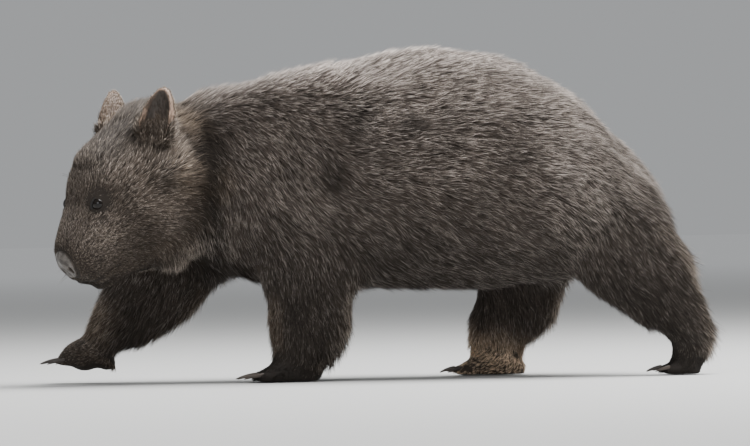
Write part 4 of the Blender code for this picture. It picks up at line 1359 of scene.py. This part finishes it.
@dataclass
class Coat:
    """The fur: tufts rooted in the skin, combed along its lie and drawn into small clumps."""

    skin: Skin
    groom: Groom
    tufts: int = 306000
    seed: int = 3
    lift_root: float = 0.44
    lift_tip: float = 0.20
    ragged: float = 0.19
    clump_share: float = 0.10
    clump_pull: float = 0.42
    root_depth: float = 0.0012
    floor_gap: float = 0.0012
    # How far the tone of the far hind foot is raised, as painted sunlight.
    painted_sunlight: float = 1.7
    fine: float = 0.74
    trunk_density: float = 2.2
    leg_density: float = 2.7
    foot_density: float = 4.5
    face_at: tuple[float, ...] = (0.0, 0.06, 0.12, 0.15)
    face_density: tuple[float, ...] = (2.4, 4.2, 8.0, 12.0)
    reach: float = 0.012
    width: tuple[float, float] = (0.00055, 0.00078)
    full_length: float = 0.026
    length_span: tuple[float, float] = (0.72, 1.22)
    lift_span: tuple[float, float] = (0.65, 1.30)
    droop_span: tuple[float, float] = (0.2, 1.7)
    width_span: tuple[float, float] = (0.75, 1.3)
    pull_span: tuple[float, float] = (0.3, 1.5)
    waver: float = 0.10
    crown_to: float = 0.075
    muzzle_from: float = 0.135
    inset: float = 0.997
    splits: tuple[tuple[str, float, float], ...] = (
        ("shoulder", -1.0, -0.02),
        ("flank", -0.02, 0.16),
        ("rump", 0.16, 1.0),
    )

    def density(self) -> np.ndarray:
        """Works out how many tufts grow.

        Returns:
            A number for each vertex, in no unit.
        """
        parts = self.groom.parts
        found = np.full(len(parts), self.trunk_density)
        found[np.isin(parts, LEGS)] = self.leg_density
        local = HEAD.local(self.groom.points)
        on = np.isin(parts, FACE)
        found[on] = np.interp(local[on, 0], self.face_at, self.face_density)
        found[np.isin(parts, FEET)] = self.foot_density
        return found * (1 - self.groom.bareness)

    def roots(self, random: np.random.Generator) -> dict[str, np.ndarray]:
        """Draws the roots of the tufts, and reads the skin's fields at each.

        Args:
            random: makes the draws.

        Returns:
            The fields at the roots, by name.
        """
        groom = self.groom
        mesh = self.skin.piece.data
        corners, loops = triangles_of(mesh)
        weight = areas_of(groom.points, corners) * self.density()[corners].mean(axis=1)
        total = np.cumsum(weight)
        places = (np.arange(self.tufts) + random.random(self.tufts)) / self.tufts * total[-1]
        face = np.minimum(np.searchsorted(total, places), len(corners) - 1)
        u, v = random.random((2, self.tufts))
        flip = u + v > 1
        u[flip], v[flip] = 1 - u[flip], 1 - v[flip]
        shares = np.column_stack((1 - u - v, u, v))
        fields = {
            "point": groom.points, "normal": groom.normals, "way": groom.way, "length": groom.hair_length,
            "mark": groom.mark, "bare": groom.bareness, "sandy_and_sunlit_share": groom.sandy_and_sunlit_share,
        }
        found = {name: read_at(rows, corners[face], shares) for name, rows in fields.items()}
        found["normal"] = unit(found["normal"])
        found["part"] = groom.parts[corners[face, shares.argmax(axis=1)]]
        found["place"] = read_at(layout_of(mesh), loops[face], shares)
        return found

    def swirl(self, points: np.ndarray) -> np.ndarray:
        """Works out a slow turn of the lie over the body, for an unkempt look.

        Args:
            points: places in the world, as rows.

        Returns:
            An angle for each, in radians.
        """
        x, y, z = points.T
        slow = np.sin(31 * x + 17 * z + 1.3) + np.sin(-23 * x + 41 * z + 19 * y)
        quick = np.sin(95 * x - 60 * z + 2.1) + np.sin(70 * z + 88 * x + 40 * y + 0.7)
        return 0.07 * slow + 0.06 * quick

    def strands(self) -> tuple[Strands, np.ndarray]:
        """Draws the tufts.

        Returns:
            The tufts, and the solid that each belongs to.
        """
        random = np.random.default_rng(self.seed)
        roots = self.roots(random)
        keep = random.random(self.tufts) > roots["bare"] * 1.2
        roots = {key: rows[keep] for key, rows in roots.items()}
        count = len(roots["point"])
        normal = roots["normal"]
        way = unit(flattened(roots["way"], normal))
        turn = self.swirl(roots["point"]) + random.normal(0, self.ragged, count)
        way = turned(way, np.cross(normal, way), turn)
        side = np.cross(normal, way)
        length = roots["length"] * random.uniform(*self.length_span, count)
        short = np.clip(roots["length"] / self.full_length, 0.2, 1.2)
        lift = self.lift_root * random.uniform(*self.lift_span, count)
        droop = self.lift_tip * random.uniform(*self.droop_span, count)
        bend = side * (random.normal(0, self.waver, count) * length)[:, None]
        root = roots["point"] - normal * self.root_depth
        middle = root + turned(way, normal, lift) * (length * 0.55)[:, None]
        tip = middle + turned(way, normal, droop) * (length * 0.50)[:, None] + bend
        middle, tip = self.clumped(random, root, middle, tip)
        width = (self.width[0] + self.width[1] * short) * random.uniform(*self.width_span, count)
        width = np.where(np.isin(roots["part"], FACE + FEET), width, self.fine * width)
        # Tone differs at random, and on the far hind foot it is raised past 1 as painted sunlight.
        tone = random.uniform(0, 1, count) + self.painted_sunlight * roots["sandy_and_sunlit_share"]
        chance = random.uniform(0, 1, count)
        place = roots["place"] * self.inset
        made = Strands(root, middle, tip, normal, width, tone, chance, roots["mark"], place)
        clear = tip[:, 2] > self.floor_gap
        return made.chosen(clear), roots["part"][clear]

    def clumped(
        self, random: np.random.Generator, root: np.ndarray, middle: np.ndarray, tip: np.ndarray
    ) -> tuple[np.ndarray, np.ndarray]:
        """Draws tufts towards the nearest leading tuft.

        Args:
            random: makes the draws.
            root: the roots, as rows.
            middle: the middles, as rows.
            tip: the tips, as rows.

        Returns:
            The moved middles and tips.
        """
        leaders = np.flatnonzero(random.random(len(root)) < self.clump_share)
        tree = nearest_of(root[leaders])
        nearest = leaders[[tree.find(p)[1] for p in root]]
        pull = self.clump_pull * random.uniform(*self.pull_span, len(root))
        shift = tip[nearest] - root[nearest] - (tip - root)
        gather = (root[nearest] - root) + shift
        far = np.linalg.norm(gather, axis=1)
        pull = np.where(far < self.reach, pull, pull * self.reach / np.maximum(far, 1e-6))
        return middle + gather * (pull * 0.25)[:, None], tip + gather * pull[:, None]

    def piece_of(self, part: np.ndarray, points: np.ndarray) -> np.ndarray:
        """Works out the piece of the coat that each tuft belongs to.

        Args:
            part: the solid that each tuft belongs to.
            points: the roots, as rows.

        Returns:
            The pieces' names.
        """
        names = np.array(["coat_" + p for p in part], dtype="U40")
        names[np.isin(part, FACE)] = "coat_head"
        on = np.isin(part, ("torso", "tail"))
        side = np.where(points[:, 1] < 0, "left", "right")
        for name, low, high in self.splits:
            chosen = on & (points[:, 0] >= low) & (points[:, 0] < high)
            names[chosen] = np.char.add(f"coat_{name}_", side[chosen])
        along = HEAD.local(points)[:, 0]
        names[(names == "coat_head") & (along < self.crown_to)] = "coat_head_crown"
        names[(names == "coat_head") & (along > self.muzzle_from)] = "coat_head_muzzle"
        return names

    def build(self, finish: bpy.types.Material) -> None:
        """Models the pieces of the coat.

        Args:
            finish: the material of the hair.
        """
        tuft = Tuft(joints=())
        tuft.build()
        strands, part = self.strands()
        names = self.piece_of(part, strands.root)
        for name in sorted(set(names)):
            piece = strands.chosen(names == name).mesh(name, tuft)
            piece.data.materials.append(finish)
            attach(piece, BODY)
            log.info("%s: %d tufts, %d triangles", name, (names == name).sum(), len(piece.data.polygons))


@dataclass
class Whiskers:
    """The stiff long hairs of the muzzle, the chin and the brows."""

    skin: Skin
    seed: int = 5
    rows: tuple[tuple[Triple, Triple, Triple, int, float], ...] = (
        ((0.172, 0.040, -0.012), (0.014, 0.0, 0.010), (0.95, 0.38, 0.0), 8, 0.026),
        ((0.160, 0.022, -0.052), (0.018, 0.014, 0.0), (0.55, 0.25, -1.0), 6, 0.024),
        ((0.112, 0.052, 0.082), (0.005, 0.004, 0.0), (0.20, 0.5, 0.9), 2, 0.020),
    )

    def build(self, finish: bpy.types.Material) -> None:
        """Models the whiskers.

        Args:
            finish: the material of the hair.
        """
        random = np.random.default_rng(self.seed)
        tree = tree_of(self.skin.piece)
        place = np.array(HEAD.matrix())
        roots, ways, ups, lengths = [], [], [], []
        for centre, reach, way, count, length in self.rows:
            for side in (-1, 1):
                for _ in range(count):
                    at = np.array(centre) + np.array(reach) * random.uniform(-1, 1, 3)
                    at[1] *= side
                    near, normal, _, _ = tree.find_nearest(Vector(place[:3, :3] @ at + place[:3, 3]))
                    aim = np.array((way[0], way[1] * side, way[2])) + random.normal(0, 0.12, 3)
                    roots.append(near)
                    ways.append(HEAD.world(tuple(aim)))
                    ups.append(normal)
                    lengths.append(length * random.uniform(0.6, 1.15))
        root, way, up = np.array(roots), unit(np.array(ways)), np.array(ups)
        length = np.array(lengths)[:, None]
        count = len(root)
        middle = root + way * length * 0.5
        tip = root + way * length - np.array((0.0, 0.0, 1.0)) * length * 0.18
        mark = np.tile((1.0, 0.2, 0.3), (count, 1))
        tuft = Tuft(joints=(0.3, 0.6))
        tuft.build()
        strands = Strands(
            root - up * 0.001, middle, tip, up, np.full(count, 0.00040),
            np.full(count, 0.2), np.zeros(count), mark, self.skin.places(root),
        )
        piece = strands.mesh("whiskers", tuft)
        piece.data.materials.append(finish)
        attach(piece, BODY)


@dataclass
class Ear:
    """One ear: a thin cup of skin, furred outside and along its rim."""

    side: str
    grid: float = 0.0011
    hairs: int = 9000
    seed: int = 11
    lean: Triple = (0.0060, 0.0, 0.0)
    up: Triple = (0.15, 0.0, 1.0)
    length_at: tuple[float, ...] = (0.0, 0.30, 0.45, 0.7, 1.0)
    lengths: tuple[float, ...] = (0.012, 0.011, 0.0075, 0.0050, 0.0032)
    span: tuple[float, float] = (0.7, 1.3)
    ragged: float = 0.18
    root_depth: float = 0.0006
    width_at: tuple[float, float] = (0.3, 0.6)
    widths: tuple[float, float] = (0.0010, 0.00062)
    # How far from the rim the hair in the cup takes painted shade.
    deep: tuple[float, float] = (0.0022, 0.0058)
    pale_at: tuple[float, ...] = (0.0, 0.4, 0.8, 1.0)
    pales: tuple[float, ...] = (0.22, 0.32, 0.48, 0.62)

    def build(self, finish: bpy.types.Material) -> bpy.types.Object:
        """Models the skin of the ear, in place of its solid.

        Args:
            finish: the material of the skin.

        Returns:
            The skin of the ear.
        """
        name = f"ear_{self.side}"
        self.piece = object_of(f"ear_skin_{self.side}", copy_of_node(name))
        remeshed(self.piece, self.grid)
        smoothed(self.piece, 8)
        self.piece.data.shade_smooth()
        low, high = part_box(name)
        self.middle = np.array((low + high) / 2)
        points = points_of(self.piece)
        share = smooth_step(0.15, 1.10, (points[:, 2] - low.z) / (high.z - low.z))
        set_points(self.piece, points + np.outer(share, self.lean))
        self.mark()
        self.piece.data.materials.append(finish)
        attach(self.piece, BODY)
        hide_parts(name)
        return self.piece

    def opening(self) -> np.ndarray:
        """Works out the way the cup opens.

        Returns:
            A direction in the world.
        """
        angle = math.radians({"left": 36.0, "right": 66.0}[self.side])
        side = -1 if self.side == "left" else 1
        right = np.array((-math.sin(HEAD.turn), math.cos(HEAD.turn), 0.0)) * side
        ahead = np.array((-math.cos(HEAD.turn), -math.sin(HEAD.turn), 0.0))
        return ahead * math.cos(angle) + right * math.sin(angle)

    def mark(self) -> None:
        """Stores how far inside the cup each vertex is, and how near the rim."""
        points, normals = points_of(self.piece), normals_of(self.piece)
        opens = self.opening()
        ahead = (points - self.middle) @ opens
        facing = normals @ opens
        self.inside = smooth_step(0.10, 0.45, facing) * smooth_step(-0.004, 0.002, ahead + 0.004)
        height = (points[:, 2] - points[:, 2].min()) / np.ptp(points[:, 2])
        rim = points[(abs(facing) < 0.25) & (height > 0.30)]
        tree = nearest_of(rim)
        self.depth = np.array([tree.find(p)[2] for p in points])
        store(self.piece.data, "cup", np.column_stack((self.inside, self.depth * 100, facing)))

    def fur(self, finish: bpy.types.Material) -> None:
        """Models the short fur of the ear's back, rim and foot.

        Args:
            finish: the material of the hair.
        """
        random = np.random.default_rng(self.seed)
        corners, _ = triangles_of(self.piece.data)
        points, normals = points_of(self.piece), normals_of(self.piece)
        low = points[:, 2].min()
        height = (points[:, 2] - low) / (points[:, 2].max() - low)
        grow = np.where(self.inside > 0.5, 0.20, 1.0) + 1.6 * smooth_step(0.45, 0.30, height)
        weight = np.cumsum(areas_of(points, corners) * grow[corners].mean(axis=1))
        face = np.searchsorted(weight, random.random(self.hairs) * weight[-1])
        shares = random.dirichlet((1, 1, 1), self.hairs)
        fields = (points, normals, height, self.inside, self.depth)
        root, normal, at, cup, deep = (read_at(rows, corners[face], shares) for rows in fields)
        normal = unit(normal)
        foot = smooth_step(0.55, 0.28, at)[:, None]
        way = np.array(self.up) * (1 - foot) + HEAD.world((-0.9, 0.0, 0.45)) * foot
        way = unit(flattened(way, normal) + random.normal(0, self.ragged, (self.hairs, 3)))
        length = np.interp(at, self.length_at, self.lengths) * random.uniform(*self.span, self.hairs)
        lift = np.where(cup > 0.5, 0.40, 0.22) + 0.12 * smooth_step(0.45, 0.30, at)
        middle = root + turned(way, normal, lift) * (length * 0.55)[:, None]
        tip = middle + (way * 0.97 + normal * 0.15) * (length * 0.5)[:, None]
        pale = np.interp(at, self.pale_at, self.pales)
        # Deep in the cup the hair loses its pale tips and turns dark: painted shade.
        hollow = (cup > 0.5) * smooth_step(*self.deep, deep) * smooth_step(0.38, 0.54, at)
        dark = np.maximum(0.75 * hollow, 0.42 * foot[:, 0])
        mark = np.column_stack((pale * (1 - hollow), 0.60 - 0.20 * foot[:, 0], dark))
        tuft = Tuft()
        tuft.build()
        tone, chance = random.random((2, self.hairs))
        width = np.interp(at, self.width_at, self.widths) * random.uniform(*self.span, self.hairs)
        place = self.patches(face, shares)
        root = root - normal * self.root_depth
        strands = Strands(root, middle, tip, normal, width, tone, chance, mark, place)
        piece = strands.mesh(f"ear_fur_{self.side}", tuft)
        piece.data.materials.append(finish)
        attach(piece, BODY)

    def patches(self, face: np.ndarray, shares: np.ndarray) -> np.ndarray:
        """Lays the ear out flat, and finds each root's place there.

        Args:
            face: the triangle of each root.
            shares: where in the triangle each root is.

        Returns:
            The places, as rows.
        """
        unwrap(self.piece, 0.01)
        mesh = self.piece.data
        _, loops = triangles_of(mesh)
        return read_at(layout_of(mesh), loops[face], shares)


@dataclass(frozen=True)
class EarFinish:
    """The thin skin of an ear: tan and pinkish at the rim, with shade painted dark deep in the cup."""

    name: str
    rim: Colour = (0.400, 0.275, 0.205, 1)
    back: Colour = (0.190, 0.140, 0.115, 1)
    # The colour of the shade painted deep in the cup.
    deep: Colour = (0.046, 0.034, 0.027, 1)

    def material(self) -> bpy.types.Material:
        """Makes the material.

        Returns:
            The material.
        """
        n = Surface(self.name)
        inside, deep = n.stored("cup")[:2]
        veins = n.ramp(n.noise(160.0, 4.0), 0.35, 0.65)
        outside = n.mix(n.ramp(deep, 0.1, 0.6), n.mix(veins, self.back, self.rim), self.back)
        # Inside the cup the colour runs from the rim's to the deep colour, painted shade that grows away from
        # the rim.
        hollow = n.mix(n.ramp(deep, 0.22, 0.60), self.rim, self.deep)
        return n.finished({
            "Base Color": n.mix(inside, outside, hollow),
            "Roughness": 0.62,
            "Subsurface Weight": 0.12,
            "Subsurface Radius": (0.006, 0.002, 0.001),
            "Normal": n.bump(veins, 0.3, 0.0006),
        })


@dataclass
class Eye:
    """One eye and its lids."""

    side: str
    radius: float = 0.0090
    lid_gap: float = 0.0003
    lid_thick: float = 0.0009
    clear_angle: float = 0.75
    clear_rise: float = 0.05
    opening: tuple[float, float] = (0.0088, 0.0071)
    lid_rings: tuple[tuple[float, float], ...] = (
        (1.0, 0.0),
        (1.06, 0.0007),
        (1.14, 0.0006),
        (1.22, -0.0003),
        (1.30, -0.0020),
    )

    def axes(self) -> Matrix:
        """Works out the eye's own axes: along the head, up its side, and the way it looks.

        Returns:
            A matrix with them as columns.
        """
        out = -1 if self.side == "left" else 1
        looks = (HEAD.matrix().to_3x3() @ Vector((0.42, 1.0 * out, 0.20))).normalized()
        along = HEAD.matrix().to_3x3() @ Vector((1.0, 0.0, -0.15))
        along = (along - looks * along.dot(looks)).normalized()
        return Matrix((along, looks.cross(along), looks)).transposed()

    def build(self, wet: bpy.types.Material, lid: bpy.types.Material) -> list[bpy.types.Object]:
        """Models the eyeball and its lids.

        Args:
            wet: the material of the eye.
            lid: the material of the lids.

        Returns:
            The two pieces.
        """
        low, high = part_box(f"eye_{self.side}")
        self.centre = (low + high) / 2 - Vector((0, 0, EYE_DROP))
        ball = self.ball(wet)
        lids = self.lids(lid)
        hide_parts(f"eye_{self.side}")
        for piece in (ball, lids):
            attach(piece, BODY)
        return [ball, lids]

    def ball(self, wet: bpy.types.Material) -> bpy.types.Object:
        """Models the eyeball, with its clear front raised a little.

        Args:
            wet: the material of the eye.

        Returns:
            The eyeball.
        """
        bm = bmesh.new()
        bmesh.ops.create_uvsphere(bm, u_segments=32, v_segments=20, radius=self.radius)
        away = []
        for vert in bm.verts:
            angle = math.atan2(math.hypot(vert.co.x, vert.co.y), vert.co.z)
            away.append((angle, 0, 0))
            if angle < self.clear_angle:
                vert.co *= 1 + self.clear_rise * math.cos(angle / self.clear_angle * math.pi / 2)
        place = Matrix.Translation(self.centre) @ self.axes().to_4x4()
        bmesh.ops.transform(bm, matrix=place, verts=bm.verts[:])
        piece = object_of(f"eyeball_{self.side}", bm)
        store(piece.data, "away", np.array(away))
        piece.data.materials.append(wet)
        return piece

    def lids(self, lid: bpy.types.Material) -> bpy.types.Object:
        """Models the lids, a ring of skin that rests on the eyeball and opens in an almond.

        Args:
            lid: the material of the lids.

        Returns:
            The lids.
        """
        bm = bmesh.new()
        bmesh.ops.create_circle(bm, cap_ends=False, segments=36, radius=1.0)
        rings = [sorted(bm.verts, key=lambda v: math.atan2(v.co.y, v.co.x))]
        rest = self.radius + self.lid_gap
        for _ in self.lid_rings[1:]:
            edges = [e for e in bm.edges if all(v in rings[-1] for v in e.verts) and len(e.link_faces) < 2]
            grown = bmesh.ops.extrude_edge_only(bm, edges=edges)["geom"]
            rings.append([v for v in grown if isinstance(v, bmesh.types.BMVert)])
        for (wide, rise), ring in zip(self.lid_rings, rings):
            for vert in ring:
                turn = math.atan2(vert.co.y, vert.co.x)
                across = self.opening[0] * math.cos(turn) * wide
                upright = self.opening[1] * math.sin(turn) * wide * (1 - 0.18 * math.cos(turn))
                flat = math.hypot(across, upright)
                height = math.sqrt(max(rest**2 - flat**2, (0.25 * rest) ** 2)) + rise
                vert.co = Vector((across, upright, height))
        place = Matrix.Translation(self.centre) @ self.axes().to_4x4()
        bmesh.ops.transform(bm, matrix=place, verts=bm.verts[:])
        bmesh.ops.recalc_face_normals(bm, faces=bm.faces[:])
        piece = object_of(f"lids_{self.side}", bm)
        wall = piece.modifiers.new("wall", "SOLIDIFY")
        wall.thickness = self.lid_thick
        wall.offset = 0.0
        even = piece.modifiers.new("even", "SUBSURF")
        even.levels = even.render_levels = 1
        applied(piece)
        bm = bmesh.new()
        bm.from_mesh(piece.data)
        bmesh.ops.recalc_face_normals(bm, faces=bm.faces[:])
        bm.to_mesh(piece.data)
        bm.free()
        piece.data.shade_smooth()
        piece.data.materials.append(lid)
        return piece


@dataclass
class Nose:
    """The bare pad of the nose, with its nostrils and cleft."""

    grid: float = 0.0007

    def build(self, finish: bpy.types.Material) -> bpy.types.Object:
        """Models the pad, in place of its solid.

        Args:
            finish: its material.

        Returns:
            The pad.
        """
        piece = object_of("nose_pad", copy_of_node("nose"))
        remeshed(piece, self.grid)
        smoothed(piece, 6)
        piece.data.shade_smooth()
        piece.data.materials.append(finish)
        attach(piece, BODY)
        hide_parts("nose")
        return piece


@dataclass
class Claws:
    """All the claws, rounded from their solids."""

    levels: int = 2

    def build(self, finish: bpy.types.Material) -> list[bpy.types.Object]:
        """Models the claws, each in place of its solid.

        Args:
            finish: its material.

        Returns:
            The claws.
        """
        made = []
        for node in sorted(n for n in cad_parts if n.startswith("claw_")):
            piece = object_of(node.replace("claw_", "horn_"), copy_of_node(node))
            rounded = piece.modifiers.new("round", "SUBSURF")
            rounded.levels = rounded.render_levels = self.levels
            applied(piece)
            piece.data.shade_smooth()
            piece.data.materials.append(finish)
            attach(piece, BODY)
            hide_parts(node)
            made.append(piece)
        return made


@dataclass
class Studio:
    """The floor, the lights and the camera."""

    camera_at: Triple = (0.00477, -8.0, 0.195)
    roll: float = math.radians(-1.12)
    lens: float = 307.2
    floor_half: float = 60.0
    air: Colour = (0.86, 0.88, 0.90, 1)
    fill: float = 0.44
    fade: tuple[float, float] = (2.5, 20.0)
    ground: Colour = (0.60, 0.60, 0.59, 1)

    def build(self) -> None:
        """Sets the stage."""
        self.floor()
        self.lights()
        self.camera()

    def floor(self) -> None:
        """Lays a plain pale floor, which far off takes the tone of the air so that no edge shows."""
        bm = bmesh.new()
        bmesh.ops.create_grid(bm, x_segments=1, y_segments=1, size=self.floor_half)
        piece = object_of("floor", bm)
        n = Surface("floor")
        place = n.add("TexCoord").outputs["Object"]
        away = n.add("VectorMath", {0: place}, operation="LENGTH").outputs["Value"]
        distant = n.ramp(away, *self.fade)
        piece.data.materials.append(n.finished({
            "Base Color": n.mix(distant, self.ground, BLACK),
            "Emission Color": n.mix(distant, BLACK, self.air),
            "Emission Strength": self.fill,
            "Roughness": 0.9,
            "Specular IOR Level": 0.1,
        }))

    def lights(self) -> None:
        """Hangs a large soft light over the wombat, and a weaker one in front."""
        world = bpy.data.worlds.new("studio")
        world.use_nodes = True
        back = world.node_tree.nodes["Background"]
        back.inputs[0].default_value = self.air
        back.inputs[1].default_value = self.fill
        bpy.context.scene.world = world
        for name, at, size, power in (
            ("overhead", (1.4, 0.15, 3.0), 3.0, 330.0),
            ("front", (-0.8, -3.6, 1.3), 2.0, 42.0),
        ):
            light = bpy.data.lights.new(name, "AREA")
            light.size = size
            light.energy = power
            made = bpy.data.objects.new(name, light)
            made.location = at
            made.rotation_euler = (Vector((0, 0, 0.2)) - Vector(at)).to_track_quat("-Z", "Y").to_euler()
            bpy.context.scene.collection.objects.link(made)

    def camera(self) -> None:
        """Places the camera as the photograph's was: far off, low, and square to the wombat's side."""
        lens = bpy.data.cameras.new("camera")
        lens.lens = self.lens
        lens.sensor_width = 36.0
        lens.clip_end = 200.0
        made = bpy.data.objects.new("camera", lens)
        turn = Matrix.Rotation(math.radians(90), 4, "X") @ Matrix.Rotation(self.roll, 4, "Z")
        made.matrix_world = Matrix.Translation(self.camera_at) @ turn
        bpy.context.scene.collection.objects.link(made)
        bpy.context.scene.camera = made


def main() -> None:
    """Builds the wombat's looks and its studio."""
    logging.basicConfig(level=logging.INFO, format="%(name)s: %(message)s")
    Studio().build()
    hair = CoatFinish("hair").material()
    hide = CoatFinish("hide", bump=0.5).material()
    skin = Skin()
    body = skin.build()
    body.data.materials.append(hide)
    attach(body, BODY)
    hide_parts(*(n for n in FLESH if n not in ("nose", "eye_left", "eye_right")))
    log.info("skin: %d faces", len(body.data.polygons))
    groom = Groom(skin)
    groom.build()
    coat = Coat(skin, groom)
    coat.build(hair)
    Whiskers(skin).build(hair)
    ear_skin = EarFinish("ear_skin").material()
    for side in SIDES:
        ear = Ear(side)
        ear.build(ear_skin)
        ear.fur(hair)
        log.info("ear %s built", side)
    wet = EyeFinish("wet_eye").material()
    lid = BareFinish(
        "lid", (0.014, 0.011, 0.009, 1), (0.008, 0.006, 0.005, 1), grain=1500.0, low_rough=0.6, high_rough=0.8
    ).material()
    for side in SIDES:
        Eye(side).build(wet, lid)
    pad = BareFinish(
        "nose_skin", (0.150, 0.124, 0.102, 1), (0.040, 0.031, 0.026, 1), grain=1100.0, coat=0.2
    ).material()
    Nose().build(pad)
    Claws().build(HornFinish("horn").material())


if __name__ == "__main__":
    main()
